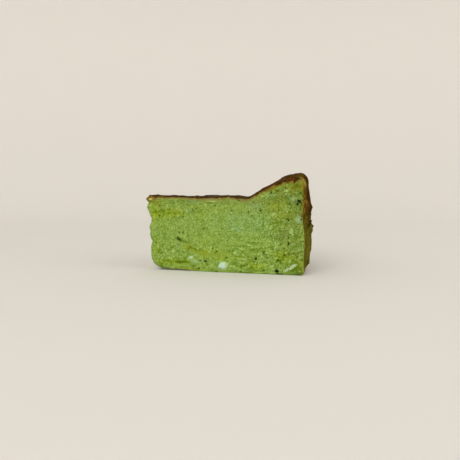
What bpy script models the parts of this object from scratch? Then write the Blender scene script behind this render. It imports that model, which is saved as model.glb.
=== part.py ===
# A slice of matcha Basque cheesecake: an eighth of a round, crustless cake that was baked
# in crumpled paper, so its middle has sunk, its rim stands up and its outer wall is creased.
# The slice lies on its base with its tip towards -X and its outer wall towards +X.
# Metres, +Z up, origin at the middle of the base.

import math

import bmesh
import bpy
import numpy as np

MM = 0.001

# Driving dimensions
WEDGE_ANGLE = math.radians(45.0)  # one slice of eight
WALL_RADIUS = 75.0 * MM           # sharp tip to outer wall, along the near cut
TIP_ROUNDING = 1.5 * MM           # in plan, where the two cuts meet
FLAT_HEIGHT = 34.9 * MM           # the sunken middle
RIM_CLIMB = 17.0 * MM             # run over which the top climbs from the flat to the rim
RIM_SOFTNESS = 1.1 * MM           # how gently both bends turn
DIP_DEPTH = 0.9 * MM              # the hollow where the climb starts
DIP_WIDTH = 4.0 * MM

# Rounding where two faces of the section meet
TIP_BASE_ROUND = 6.0 * MM
TIP_TOP_ROUND = 0.8 * MM
WALL_BASE_ROUND = 4.4 * MM
WALL_TOP_ROUND = 3.9 * MM

# The rim, uneven because the paper was: degrees from the near cut, height
RIM_LINE = (
    (0.0, 43.3 * MM),
    (11.0, 45.2 * MM),
    (18.0, 44.2 * MM),
    (26.0, 45.0 * MM),
    (45.0, 39.4 * MM),
)

# Where the climb starts: degrees from the near cut, distance from the tip
CLIMB_START = (
    (0.0, 49.8 * MM),
    (20.0, 51.8 * MM),
    (45.0, 58.0 * MM),
)

# The lobes of the wall in plan: degrees from the near cut, swelling past the radius
WALL_LINE = (
    (0.0, 0.0),
    (13.0, 3.1 * MM),
    (22.0, 1.1 * MM),
    (31.0, 2.8 * MM),
    (39.0, 1.0 * MM),
    (45.0, 1.5 * MM),
)

# How much of a lobe shows on the way up the wall, both as shares
WALL_BELLY = (
    (0.0, 0.75),
    (0.3, 1.15),
    (0.62, 1.0),
    (1.0, 0.5),
)

# Creases that the folds of the paper pressed into the wall: degrees from the near cut at
# the base and at the rim, half width in degrees, depth
PAPER_CREASES = (
    (5.5, 3.5, 0.9, 0.5 * MM),
    (20.5, 24.0, 1.8, 1.3 * MM),
    (27.5, 25.5, 1.0, 0.6 * MM),
    (41.0, 36.5, 2.0, 1.5 * MM),
)

# Torn flakes that stand out of the wall: degrees from the near cut, share of the way up,
# radius, how far they stand out
WALL_FLAKES = (
    (12.0, 0.66, 1.8 * MM, 0.8 * MM),
    (12.5, 0.45, 1.8 * MM, 0.9 * MM),
    (29.0, 0.70, 2.4 * MM, 0.8 * MM),
    (33.5, 0.30, 2.4 * MM, 0.7 * MM),
)
WALL_HEIGHT = 44.0 * MM  # of the wall that those shares are of

# The line of the tip, from the base up: height, and how far the tip stands out there
TIP_LINE = (
    (0.0, -0.4 * MM),
    (9.0 * MM, 0.0),
    (12.7 * MM, -0.7 * MM),
    (18.0 * MM, 0.5 * MM),
    (23.8 * MM, -0.3 * MM),
    (27.5 * MM, 1.2 * MM),
    (35.0 * MM, 1.9 * MM),
)
TIP_LINE_REACH = 9.0 * MM  # how far back from the tip that line fades out

# Lumps and hollows of the browned skin on top: distance from the tip, degrees from the
# near cut, radius, lift
SKIN_LUMPS = (
    (1.0 * MM, 22.0, 1.8 * MM, -0.6 * MM),
    (5.2 * MM, 22.0, 2.2 * MM, 0.3 * MM),
    (13.0 * MM, 10.0, 7.0 * MM, 0.6 * MM),
    (26.0 * MM, 18.0, 6.0 * MM, -0.7 * MM),
    (33.0 * MM, 36.0, 6.0 * MM, 0.3 * MM),
    (38.0 * MM, 12.0, 5.0 * MM, -0.6 * MM),
    (44.0 * MM, 28.0, 7.0 * MM, -0.9 * MM),
    (58.0 * MM, 24.0, 5.0 * MM, -1.0 * MM),
    (59.0 * MM, 39.0, 5.0 * MM, -0.4 * MM),
    (66.0 * MM, 17.0, 4.0 * MM, -0.9 * MM),
    (73.0 * MM, 9.0, 3.5 * MM, 0.6 * MM),
)

# Unevenness of the soft cake: size of the bumps, their height, seed of the pattern
UNEVENNESS = (
    (17.0 * MM, 0.3 * MM, 3),
    (6.5 * MM, 0.25 * MM, 8),
)
BASE_KEEPS_FLAT = 4.0 * MM  # unevenness in height fades out this far above the base

# The underside curls up slightly towards the tip
TIP_CURL = 0.8 * MM
CURL_END = 17.0 * MM     # distance from the tip up to which it is lifted in full
CURL_REACH = 11.0 * MM   # over which the lift then fades
CURL_HEIGHT = 7.0 * MM   # above the base, where it has gone
LATTICE = 16                # random values along each edge of a noise lattice

# Cells of the mesh along the radius, across the wedge and up
ALONG = 44
ACROSS = 26
UP = 22
CROWDING = 0.45  # how much closer the rows lie at both ends than in the middle

# Matcha-green crumb, dull and moist
CRUMB_COLOUR = (0.235, 0.352, 0.062, 1.0)
CRUMB_ROUGHNESS = 0.62

NODE_NAME = "cheesecake_slice"
SMOOTH_BELOW = math.radians(38.0)


def crowded(count):
    """Places from 0 to 1 that lie closer together at both ends."""
    even = np.linspace(0.0, 1.0, count + 1)
    return even - CROWDING * np.sin(2.0 * math.pi * even) / (2.0 * math.pi)


def soft_step(value):
    """0 below 0, 1 above 1 and 3v^2 - 2v^3 between."""
    inside = np.clip(value, 0.0, 1.0)
    return inside * inside * (3.0 - 2.0 * inside)


def soft_ramp(value, softness):
    """The distance past 0, with the bend at 0 rounded over the softness."""
    return softness * np.logaddexp(0.0, value / softness)


def bell(distance, half_width):
    """1 at the middle, falling off as exp(-d^2 / w^2)."""
    return np.exp(-(distance / half_width) ** 2)


def lattice_noise(points, cell, seed):
    """Random values on a cubic lattice, blended smoothly between its corners."""
    values = np.random.default_rng(seed).uniform(-1.0, 1.0, (LATTICE, LATTICE, LATTICE))
    scaled = points / cell
    corner = np.floor(scaled).astype(int)
    blend = soft_step(scaled - corner)
    total = np.zeros(points.shape[:-1])
    for step in np.ndindex(2, 2, 2):
        share = np.prod(np.where(step, blend, 1.0 - blend), axis=-1)
        place = (corner + np.array(step)) % LATTICE
        total += share * values[place[..., 0], place[..., 1], place[..., 2]]
    return total


def round_corner(first, second, radius):
    """Turn the square corner where two distances reach 0 into a quarter circle."""
    across = np.clip(1.0 - first / radius, 0.0, 1.0)
    along = np.clip(1.0 - second / radius, 0.0, 1.0)
    first_move = across * (1.0 - np.sqrt(1.0 - along ** 2 / 2.0))
    second_move = along * (1.0 - np.sqrt(1.0 - across ** 2 / 2.0))
    return first + radius * first_move, second + radius * second_move


def smooth_line(line, place):
    """A line through a few points, level at each of them and rounded between."""
    places, values = np.array(line).T
    step = np.clip(np.searchsorted(places, place) - 1, 0, len(line) - 2)
    share = soft_step((place - places[step]) / (places[step + 1] - places[step]))
    return values[step] + (values[step + 1] - values[step]) * share


def wall_radius(angle, up):
    """Distance from the tip to the outer wall, with its lobes, creases and flakes."""
    degrees = np.degrees(angle)
    radius = WALL_RADIUS + smooth_line(WALL_LINE, degrees) * smooth_line(WALL_BELLY, up)
    for at_base, at_rim, half_width, depth in PAPER_CREASES:
        middle = at_base + (at_rim - at_base) * up
        radius = radius - depth * np.exp(-np.abs(degrees - middle) / half_width)
    for flake_degrees, flake_up, size, stands_out in WALL_FLAKES:
        sideways = WALL_RADIUS * np.radians(degrees - flake_degrees)
        upwards = WALL_HEIGHT * (up - flake_up)
        radius = radius + stands_out * bell(np.hypot(sideways, upwards), size)
    return radius


def top_height(distance, angle):
    """Height of the top: flat, then a small hollow, then the climb to the rim."""
    degrees = np.degrees(angle)
    past_start = distance - smooth_line(CLIMB_START, degrees)
    climb = soft_ramp(past_start, RIM_SOFTNESS)
    climb = (climb - soft_ramp(past_start - RIM_CLIMB, RIM_SOFTNESS)) / RIM_CLIMB
    height = FLAT_HEIGHT + (smooth_line(RIM_LINE, degrees) - FLAT_HEIGHT) * climb
    height = height - DIP_DEPTH * bell(past_start, DIP_WIDTH)
    for lump_distance, lump_degrees, radius, lift in SKIN_LUMPS:
        sideways = distance * np.radians(degrees - lump_degrees)
        height = height + lift * bell(np.hypot(distance - lump_distance, sideways), radius)
    return height


def tip_arc(across):
    """Places in plan on the rounded tip, from the near cut to the far cut."""
    half = WEDGE_ANGLE / 2.0
    centre = TIP_ROUNDING / math.sin(half)
    turn = math.pi - (across * 2.0 - 1.0) * (math.pi / 2.0 - half)
    return centre + TIP_ROUNDING * np.cos(turn), TIP_ROUNDING * np.sin(turn)


def slice_points(along, across, up):
    """Points of the slice: along its radius, across the wedge and up, each from 0 to 1."""
    angle = across * WEDGE_ANGLE
    heading = angle - WEDGE_ANGLE / 2.0
    start_x, start_y = tip_arc(across)
    start = np.hypot(start_x, start_y)

    # The section, as distances from its tip and wall, base and top
    span = wall_radius(angle, up) - start
    from_tip = along * span
    top = top_height(start + from_tip, angle)
    from_wall = span - from_tip
    height = up * top

    # Its four rounded corners
    from_wall, height = round_corner(from_wall, height, WALL_BASE_ROUND)
    from_wall, from_top = round_corner(from_wall, top - height, WALL_TOP_ROUND)
    from_tip, height = round_corner(span - from_wall, top - from_top, TIP_BASE_ROUND)
    from_tip, from_top = round_corner(from_tip, top - height, TIP_TOP_ROUND)
    height = top - from_top

    # The uneven line of the tip
    heights, stands_out = np.array(TIP_LINE).T
    push = np.interp(height, heights, stands_out)
    from_tip = from_tip - push * (1.0 - soft_step(from_tip / TIP_LINE_REACH))

    # Into the wedge: each line runs straight from the tip's arc to the wall
    end_x = (start + span) * np.cos(heading)
    end_y = (start + span) * np.sin(heading)
    share = from_tip / span
    x = start_x + (end_x - start_x) * share
    y = start_y + (end_y - start_y) * share
    points = np.stack([x, y, height], axis=-1)
    return points + uneven(points)


def uneven(points):
    """A slight push in each direction that varies smoothly, and the curl under the tip."""
    push = np.zeros(points.shape)
    for cell, amount, seed in UNEVENNESS:
        for axis in range(3):
            push[..., axis] += amount * lattice_noise(points, cell, seed + axis)
    push[..., 2] *= soft_step(points[..., 2] / BASE_KEEPS_FLAT)
    distance = np.hypot(points[..., 0], points[..., 1])
    near_tip = soft_step((CURL_END + CURL_REACH - distance) / CURL_REACH)
    near_base = soft_step(1.0 - points[..., 2] / CURL_HEIGHT)
    push[..., 2] += TIP_CURL * near_tip * near_base
    return push


def slice_mesh():
    """The six sides of the block of cells, sewn together, with one flat face as the base."""
    shape = (ALONG + 1, ACROSS + 1, UP + 1)
    along = crowded(ALONG)
    across = np.linspace(0.0, 1.0, ACROSS + 1)
    up = crowded(UP)
    cells = np.meshgrid(along, across, up, indexing="ij")
    points = slice_points(*cells)
    low = points.reshape(-1, 3).min(axis=0)
    high = points.reshape(-1, 3).max(axis=0)
    middle = (low + high) / 2.0
    points = points - np.array([middle[0], middle[1], 0.0])

    corner = np.arange(np.prod(shape)).reshape(shape)
    sides = (
        (corner[:, :, 0], True),
        (corner[:, :, -1], False),
        (corner[:, 0, :], False),
        (corner[:, -1, :], True),
        (corner[0, :, :], True),
        (corner[-1, :, :], False),
    )
    bm = bmesh.new()
    made = {}
    for grid, turned in sides:
        for index in np.unique(grid):
            if index not in made:
                made[index] = bm.verts.new(points.reshape(-1, 3)[index])
        quads = np.stack([grid[:-1, :-1], grid[1:, :-1], grid[1:, 1:], grid[:-1, 1:]], axis=-1)
        for quad in quads.reshape(-1, 4):
            ring = [made[index] for index in quad]
            bm.faces.new(reversed(ring) if turned else ring)
    bmesh.ops.recalc_face_normals(bm, faces=bm.faces)

    level = [face for face in bm.faces if all(vert.co.z == 0.0 for vert in face.verts)]
    bmesh.ops.dissolve_faces(bm, faces=level, use_verts=False)

    mesh = bpy.data.meshes.new(NODE_NAME)
    bm.to_mesh(mesh)
    bm.free()
    mesh.shade_smooth()
    mesh.set_sharp_from_angle(angle=SMOOTH_BELOW)
    return mesh


def crumb_material():
    """Dull, moist green cake."""
    material = bpy.data.materials.new("matcha_cake")
    material.use_nodes = True
    shader = material.node_tree.nodes["Principled BSDF"]
    shader.inputs["Base Color"].default_value = CRUMB_COLOUR
    shader.inputs["Roughness"].default_value = CRUMB_ROUGHNESS
    shader.inputs["Metallic"].default_value = 0.0
    return material


def main():
    for thing in list(bpy.data.objects):
        bpy.data.objects.remove(thing, do_unlink=True)
    cake = bpy.data.objects.new(NODE_NAME, slice_mesh())
    cake.data.materials.append(crumb_material())
    bpy.context.scene.collection.objects.link(cake)


main()
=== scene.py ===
# Looks of a slice of matcha Basque cheesecake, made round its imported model.
import math

import bmesh
import bpy
import numpy as np
from mathutils import Euler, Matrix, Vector
from mathutils.bvhtree import BVHTree


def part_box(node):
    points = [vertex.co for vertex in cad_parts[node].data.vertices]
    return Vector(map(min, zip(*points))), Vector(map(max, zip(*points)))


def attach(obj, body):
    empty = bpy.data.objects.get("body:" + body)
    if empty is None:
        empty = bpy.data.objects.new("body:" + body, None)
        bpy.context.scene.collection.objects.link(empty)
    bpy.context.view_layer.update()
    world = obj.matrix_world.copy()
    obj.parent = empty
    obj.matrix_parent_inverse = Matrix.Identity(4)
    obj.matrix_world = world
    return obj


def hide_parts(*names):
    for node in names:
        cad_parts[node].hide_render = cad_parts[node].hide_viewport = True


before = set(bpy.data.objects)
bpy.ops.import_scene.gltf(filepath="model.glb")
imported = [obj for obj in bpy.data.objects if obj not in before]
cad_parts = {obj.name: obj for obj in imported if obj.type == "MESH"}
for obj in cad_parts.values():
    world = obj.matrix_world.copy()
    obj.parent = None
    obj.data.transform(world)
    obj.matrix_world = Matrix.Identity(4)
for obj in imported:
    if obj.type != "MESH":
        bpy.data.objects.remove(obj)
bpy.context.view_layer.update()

mm = 0.001
cakeNode = "cheesecake_slice"


def linearColour(hexCode, alpha=1.0):
    # sRGB to linear: v / 12.92 below 0.04045, else ((v + 0.055) / 1.055) ^ 2.4
    raw = np.array([int(hexCode[i:i + 2], 16) for i in (1, 3, 5)]) / 255.0
    linear = np.where(raw <= 0.04045, raw / 12.92, ((raw + 0.055) / 1.055) ** 2.4)
    return (*linear.tolist(), alpha)


# The camera: in front of the near cut, turned a little towards the outer wall
camera = dict(
    imageSide=460,                 # pixels
    focalPixels=480.0,
    sensorMm=36.0,
    at=(-29.2, -231.3, 35.8),      # millimetres
    turnedRight=7.5,               # degrees
    horizonRow=194.0,              # pixel row at the camera's own height
    clipStart=0.005,               # metres
)


def makeCamera():
    data = bpy.data.cameras.new("camera")
    data.sensor_width = camera["sensorMm"]
    data.lens = camera["sensorMm"] * camera["focalPixels"] / camera["imageSide"]
    data.clip_start = camera["clipStart"]
    tilt = math.atan((camera["imageSide"] / 2 - camera["horizonRow"]) / camera["focalPixels"])
    holder = bpy.data.objects.new("camera", data)
    holder.location = Vector(camera["at"]) * mm
    turn = math.radians(camera["turnedRight"])
    holder.rotation_euler = Euler((math.pi / 2 - tilt, 0.0, -turn))
    bpy.context.scene.collection.objects.link(holder)
    bpy.context.scene.camera = holder


makeCamera()
print("camera placed")


# The slice's own form, in millimetres and degrees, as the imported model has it
wedge = dict(
    angle=45.0,                    # between the two cuts
    wallRadius=75.0,               # sharp tip to outer wall, along the near cut
    tipRounding=1.5,
    flatHeight=34.9,
    rimClimb=17.0,
    rimSoftness=1.1,
    dipDepth=0.9,
    dipWidth=4.0,
    tipBaseRound=6.0,
    tipTopRound=0.8,
    wallBaseRound=4.4,
    wallTopRound=3.9,
    # degrees from the near cut, height of the rim
    rimLine=((0.0, 43.3), (11.0, 45.2), (18.0, 44.2), (26.0, 45.0), (45.0, 39.4)),
    # degrees from the near cut, distance from the tip where the top starts to climb
    climbStart=((0.0, 49.8), (20.0, 51.8), (45.0, 58.0)),
    # degrees from the near cut, swelling of the wall past its radius
    wallLine=((0.0, 0.0), (13.0, 3.1), (22.0, 1.1), (31.0, 2.8), (39.0, 1.0), (45.0, 1.5)),
    # share of the way up the wall, share of that swelling
    wallBelly=((0.0, 0.75), (0.3, 1.15), (0.62, 1.0), (1.0, 0.5)),
    # degrees at the base, degrees at the rim, half width in degrees, depth
    paperCreases=((5.5, 3.5, 0.9, 0.5), (20.5, 24.0, 1.8, 1.3), (27.5, 25.5, 1.0, 0.6),
                  (41.0, 36.5, 2.0, 1.5)),
    # degrees, share of the way up, radius, how far the flake stands out
    wallFlakes=((12.0, 0.66, 1.8, 0.8), (12.5, 0.45, 1.8, 0.9), (29.0, 0.70, 2.4, 0.8),
                (33.5, 0.30, 2.4, 0.7)),
    wallHeight=44.0,
    # height, how far the tip stands out there
    tipLine=((0.0, -0.4), (9.0, 0.0), (12.7, -0.7), (18.0, 0.5), (23.8, -0.3), (27.5, 1.2),
             (35.0, 1.9)),
    tipLineReach=9.0,
    # distance from the tip, degrees from the near cut, radius, lift
    skinLumps=((5.2, 22.0, 2.2, 0.3), (1.0, 22.0, 1.8, -0.6), (13.0, 10.0, 7.0, 0.6),
               (26.0, 18.0, 6.0, -0.7), (33.0, 36.0, 6.0, 0.3), (38.0, 12.0, 5.0, -0.6),
               (44.0, 28.0, 7.0, -0.9), (58.0, 24.0, 5.0, -1.0), (59.0, 39.0, 5.0, -0.4),
               (66.0, 17.0, 4.0, -0.9), (73.0, 9.0, 3.5, 0.6)),
    # size of the bumps, their height, seed of the pattern
    unevenness=((17.0, 0.3, 3), (6.5, 0.25, 8)),
    baseKeepsFlat=4.0,
    # the tip's underside curls up: how far, where it ends and over what distance, mm
    tipCurl=(0.8, 17.0, 11.0),
    tipCurlHeight=7.0,
    cadCells=(44, 26, 22),         # along the radius, across the wedge, up
    crowding=0.45,                 # 0 spaces the cells evenly
    latticeSide=16,                # random values along each axis before they repeat
)


def softStep(value):
    # 3v^2 - 2v^3 between 0 and 1
    inside = np.clip(value, 0.0, 1.0)
    return inside * inside * (3.0 - 2.0 * inside)


def softRamp(value, softness):
    # s * ln(1 + e^(v / s)): the distance past 0, with a rounded bend
    return softness * np.logaddexp(0.0, value / softness)


def bell(distance, halfWidth):
    # e^(-(d / w)^2)
    return np.exp(-(distance / halfWidth) ** 2)


def crowded(count):
    # v - k sin(2 pi v) / 2 pi: places from 0 to 1, closer together at both ends
    even = np.linspace(0.0, 1.0, count + 1)
    return even - wedge["crowding"] * np.sin(2.0 * math.pi * even) / (2.0 * math.pi)


def latticeNoise(points, cell, seed):
    # Random values on a cubic lattice, blended with softStep between its corners
    values = np.random.default_rng(seed).uniform(-1.0, 1.0, (wedge["latticeSide"],) * 3)
    scaled = points / cell
    corner = np.floor(scaled).astype(int)
    blend = softStep(scaled - corner)
    total = np.zeros(points.shape[:-1])
    for step in np.ndindex(2, 2, 2):
        share = np.prod(np.where(step, blend, 1.0 - blend), axis=-1)
        place = (corner + np.array(step)) % wedge["latticeSide"]
        total += share * values[place[..., 0], place[..., 1], place[..., 2]]
    return total


def roundCorner(first, second, radius):
    # Two distances that meet in a square corner: each is scaled by sqrt(1 - other^2 / 2),
    # counted from the corner's inner point, which bends the corner into a quarter circle
    across = np.clip(1.0 - first / radius, 0.0, 1.0)
    along = np.clip(1.0 - second / radius, 0.0, 1.0)
    firstMove = across * (1.0 - np.sqrt(1.0 - along ** 2 / 2.0))
    secondMove = along * (1.0 - np.sqrt(1.0 - across ** 2 / 2.0))
    return first + radius * firstMove, second + radius * secondMove


def smoothLine(line, place):
    # softStep from each listed point to the next
    places, values = np.array(line).T
    step = np.clip(np.searchsorted(places, place) - 1, 0, len(line) - 2)
    share = softStep((place - places[step]) / (places[step + 1] - places[step]))
    return values[step] + (values[step + 1] - values[step]) * share


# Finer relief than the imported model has, in millimetres
relief = dict(
    # browned top: size of its wrinkles, their height, seed
    topWrinkles=((5.6, 0.30, 21), (2.6, 0.20, 24), (1.2, 0.09, 27)),
    # folds that run up the climb: degrees between them, height, seed
    rimFolds=(2.9, 0.32, 31),
    # how far they sway in degrees and over what size, and the size of the gaps in them
    foldSway=(1.6, 8.0),
    foldGaps=6.5,
    # how far past the start of the climb they are deepest, and their half length
    foldPlace=(10.0, 9.0),
    # beside the near cut the top is calmer: its share there, the degrees where it starts
    # to grow, and over how many
    nearTop=(0.3, 0.5, 5.0),
    # outer wall, where crumpled paper lay: size of its facets, their depth, seed
    wallFacets=((9.0, 0.50, 41), (4.2, 0.34, 44), (1.9, 0.17, 47), (1.0, 0.08, 49)),
    facetStretch=0.5,              # below 1 draws them out upwards
    facetSlice=3.7,                # which slice of the noise they are
    # share of their depth beside the near cut, and the degrees over which it becomes full
    nearWall=(0.35, 3.0),
    # degrees where the facets start to deepen, over how many, and by what share
    deeperFacets=(15.0, 6.0, 0.9),
    # single swellings of the wall: degrees, share of the way up, radius, how far out
    wallSwells=((11.0, 0.90, 4.5, -0.5), (12.0, 0.37, 2.6, 0.45), (9.0, 0.04, 2.5, -0.4)),
    # the wall's foot beside the near cut: degrees it reaches, how far it stands out, share
    # of the height where it ends; and the radius of its edge
    nearFoot=(8.0, 0.7, 0.6),
    nearFootRound=2.6,
    # cut faces: size of the curds, their height, seed
    curds=((3.2, 0.12, 61), (1.6, 0.11, 64), (0.85, 0.07, 67)),
    # the tip, torn in small ledges: size along the tip's edge, how far they stand out, seed
    tipLedges=((3.1, 0.30, 71), (1.3, 0.16, 74)),
    tipLedgeReach=3.0,
    tipLedgeFoot=2.0,              # they fade out below this height
    # single ledges: height, half width, how far they stand out
    tipSteps=((34.9, 0.6, -0.6), (33.6, 0.8, 0.4), (32.0, 0.9, -0.7), (29.0, 1.1, 0.5),
              (20.7, 1.0, 0.4), (17.8, 0.9, -0.5), (13.6, 0.8, -0.3)),
    # a cut's relief fades out towards the skin, over this depth and from this share of it,
    # and towards the base, over this height
    cutEdgeFade=0.9, cutEdgeShare=0.15, cutFootFade=0.6,
    # small points of skin over the near cut: distance from the tip, degrees, radius, height
    skinPoints=((0.9, 0.0, 1.3, -0.8), (3.9, 0.6, 0.9, 0.6), (6.0, 1.2, 1.4, -0.8),
                (12.0, 2.0, 3.5, -0.2), (18.5, 0.3, 0.9, 0.3), (21.0, 0.5, 2.0, 0.25),
                (24.6, 0.3, 0.8, 0.3), (32.0, 1.0, 2.5, -0.2), (32.9, 0.3, 0.7, 0.4),
                (36.0, 1.0, 2.0, -0.2), (36.7, 0.3, 0.8, 0.5), (40.5, 0.2, 0.8, 0.45),
                (46.0, 1.0, 2.5, -0.25), (57.5, 5.0, 3.0, -0.45), (61.5, 8.0, 3.0, -0.5),
                (65.4, 0.4, 1.0, 0.5), (71.5, 0.5, 1.0, -0.3), (72.0, 10.0, 2.5, -0.4)),
)


def ridges(points, cell, seed):
    # 0.5 - 2 |noise|: sharp crests where the noise crosses 0, about level on the whole
    return 0.5 - 2.0 * np.abs(latticeNoise(points, cell, seed))


def topRelief(distance, degrees):
    # Ridged noise over the top, plus folds that run up the climb to the rim
    turn = np.radians(degrees)
    place = np.stack([distance * np.cos(turn), distance * np.sin(turn), 0.0 * turn], axis=-1)
    total = np.zeros(distance.shape)
    for cell, height, seed in relief["topWrinkles"]:
        total += height * ridges(place, cell, seed)
    spacing, height, seed = relief["rimFolds"]
    swayDegrees, swaySize = relief["foldSway"]
    sway = swayDegrees * latticeNoise(place, swaySize, seed)
    wave = np.cos(2.0 * math.pi * (degrees + sway) / spacing)
    middle, halfLength = relief["foldPlace"]
    onClimb = bell(distance - smoothLine(wedge["climbStart"], degrees) - middle, halfLength)
    broken = softStep(0.5 + latticeNoise(place, relief["foldGaps"], seed + 1))
    total += 0.5 * height * wave * onClimb * broken
    calm, start, reach = relief["nearTop"]
    total *= calm + (1.0 - calm) * softStep((degrees - start) / reach)
    for pointDistance, pointDegrees, radius, lift in relief["skinPoints"]:
        sideways = distance * np.radians(degrees - pointDegrees)
        total += lift * bell(np.hypot(distance - pointDistance, sideways), radius)
    return total


def wallRelief(degrees, up):
    # Ridged noise on the unrolled wall, drawn out upwards as folds of paper are, calmer
    # beside the near cut and deeper round the back
    arc = wedge["wallRadius"] * np.radians(degrees)
    rise = wedge["wallHeight"] * up
    place = np.stack([arc, rise * relief["facetStretch"], 0.0 * arc + relief["facetSlice"]],
                     axis=-1)
    total = np.zeros(arc.shape)
    for cell, depth, seed in relief["wallFacets"]:
        total += depth * ridges(place, cell, seed)
    nearShare, nearReach = relief["nearWall"]
    start, reach, growth = relief["deeperFacets"]
    return total * (nearShare + (1.0 - nearShare) * softStep(degrees / nearReach)) \
        * (1.0 + growth * softStep((degrees - start) / reach))


def wallRadius(angle, up, fine):
    # Radius + lobes * belly - creases + flakes, and for the fine slice + relief + foot
    degrees = np.degrees(angle)
    radius = wedge["wallRadius"] + smoothLine(wedge["wallLine"], degrees) \
        * smoothLine(wedge["wallBelly"], up)
    for atBase, atRim, halfWidth, depth in wedge["paperCreases"]:
        middle = atBase + (atRim - atBase) * up
        radius = radius - depth * np.exp(-np.abs(degrees - middle) / halfWidth)
    swells = wedge["wallFlakes"] + (relief["wallSwells"] if fine else ())
    for flakeDegrees, flakeUp, size, standsOut in swells:
        sideways = wedge["wallRadius"] * np.radians(degrees - flakeDegrees)
        upwards = wedge["wallHeight"] * (up - flakeUp)
        radius = radius + standsOut * bell(np.hypot(sideways, upwards), size)
    if not fine:
        return radius
    reach, standsOut, top = relief["nearFoot"]
    foot = (1.0 - softStep(degrees / reach)) * (1.0 - softStep(up / top))
    return radius + wallRelief(degrees, up) + standsOut * foot


def topHeight(distance, angle, fine):
    # Flat, minus a small hollow, plus a soft ramp up to the rim, plus lumps, and for the
    # fine slice + relief
    degrees = np.degrees(angle)
    pastStart = distance - smoothLine(wedge["climbStart"], degrees)
    climb = softRamp(pastStart, wedge["rimSoftness"])
    climb = climb - softRamp(pastStart - wedge["rimClimb"], wedge["rimSoftness"])
    share = climb / wedge["rimClimb"]
    flat = wedge["flatHeight"]
    height = flat + (smoothLine(wedge["rimLine"], degrees) - flat) * share
    height = height - wedge["dipDepth"] * bell(pastStart, wedge["dipWidth"])
    for lumpDistance, lumpDegrees, radius, lift in wedge["skinLumps"]:
        sideways = distance * np.radians(degrees - lumpDegrees)
        height = height + lift * bell(np.hypot(distance - lumpDistance, sideways), radius)
    return height + topRelief(distance, degrees) if fine else height


def unevenPush(points):
    # A smooth push in each direction, its upward part fading out near the base, and the
    # curl under the tip
    push = np.zeros(points.shape)
    for cell, amount, seed in wedge["unevenness"]:
        for axis in range(3):
            push[..., axis] += amount * latticeNoise(points, cell, seed + axis)
    push[..., 2] *= softStep(points[..., 2] / wedge["baseKeepsFlat"])
    lift, curlEnd, reach = wedge["tipCurl"]
    distance = np.hypot(points[..., 0], points[..., 1])
    nearTip = softStep((curlEnd + reach - distance) / reach)
    nearBase = softStep(1.0 - points[..., 2] / wedge["tipCurlHeight"])
    push[..., 2] += lift * nearTip * nearBase
    return push


def tipLedges(height, turn):
    # Ridged noise in bands round the tip
    place = np.stack([np.cos(turn), np.sin(turn), height], axis=-1)
    total = np.zeros(height.shape)
    for cell, standsOut, seed in relief["tipLedges"]:
        total += standsOut * ridges(place, cell, seed)
    for middle, halfWidth, standsOut in relief["tipSteps"]:
        total += standsOut * bell(height - middle, halfWidth)
    return total


def slicePoints(along, across, up, fine):
    # Lines from the tip's small arc straight to the wall, each with a section whose four
    # corners are rounded; returns the points, how deep each lies under the top and behind
    # the wall, and the way the tip or cut faces there
    half = math.radians(wedge["angle"]) / 2.0
    angle = across * 2.0 * half
    turn = math.pi - (across * 2.0 - 1.0) * (math.pi / 2.0 - half)
    tipCentre = wedge["tipRounding"] / math.sin(half)
    startX = tipCentre + wedge["tipRounding"] * np.cos(turn)
    startY = wedge["tipRounding"] * np.sin(turn)
    start = np.hypot(startX, startY)

    span = wallRadius(angle, up, fine) - start
    fromTip = along * span
    top = topHeight(start + fromTip, angle, fine)
    fromWall = span - fromTip
    height = up * top
    depths = top - height, fromWall
    baseRound = wedge["wallBaseRound"]
    if fine:
        sharper = 1.0 - softStep(np.degrees(angle) / relief["nearFoot"][0])
        baseRound = baseRound + (relief["nearFootRound"] - baseRound) * sharper
    fromWall, height = roundCorner(fromWall, height, baseRound)
    fromWall, fromTop = roundCorner(fromWall, top - height, wedge["wallTopRound"])
    fromTip, height = roundCorner(span - fromWall, top - fromTop, wedge["tipBaseRound"])
    fromTip, fromTop = roundCorner(fromTip, top - height, wedge["tipTopRound"])
    height = top - fromTop

    heights, standsOut = np.array(wedge["tipLine"]).T
    push = np.interp(height, heights, standsOut)
    push = push * (1.0 - softStep(fromTip / wedge["tipLineReach"]))
    if fine:
        atTip = (1.0 - softStep(fromTip / relief["tipLedgeReach"])) \
            * softStep(height / relief["tipLedgeFoot"])
        push = push + tipLedges(height, turn) * atTip
    fromTip = fromTip - push
    share = fromTip / span
    endX = (start + span) * np.cos(angle - half)
    endY = (start + span) * np.sin(angle - half)
    points = np.stack([startX + (endX - startX) * share, startY + (endY - startY) * share,
                       height], axis=-1)
    return points + unevenPush(points), depths, turn


def frameShift():
    # From the sharp tip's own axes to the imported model: both boxes share their middle
    cellsAlong, cellsAcross, cellsUp = wedge["cadCells"]
    grid = np.meshgrid(crowded(cellsAlong), np.linspace(0.0, 1.0, cellsAcross + 1),
                       crowded(cellsUp), indexing="ij")
    points = slicePoints(*grid, False)[0].reshape(-1, 3)
    low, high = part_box(cakeNode)
    packed = (np.array(low) + np.array(high)) / 2.0 / mm
    own = (points.min(axis=0) + points.max(axis=0)) / 2.0
    return np.array([packed[0] - own[0], packed[1] - own[1], 0.0])


shift = frameShift()
print("frame shift, mm:", shift.round(3))

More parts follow.
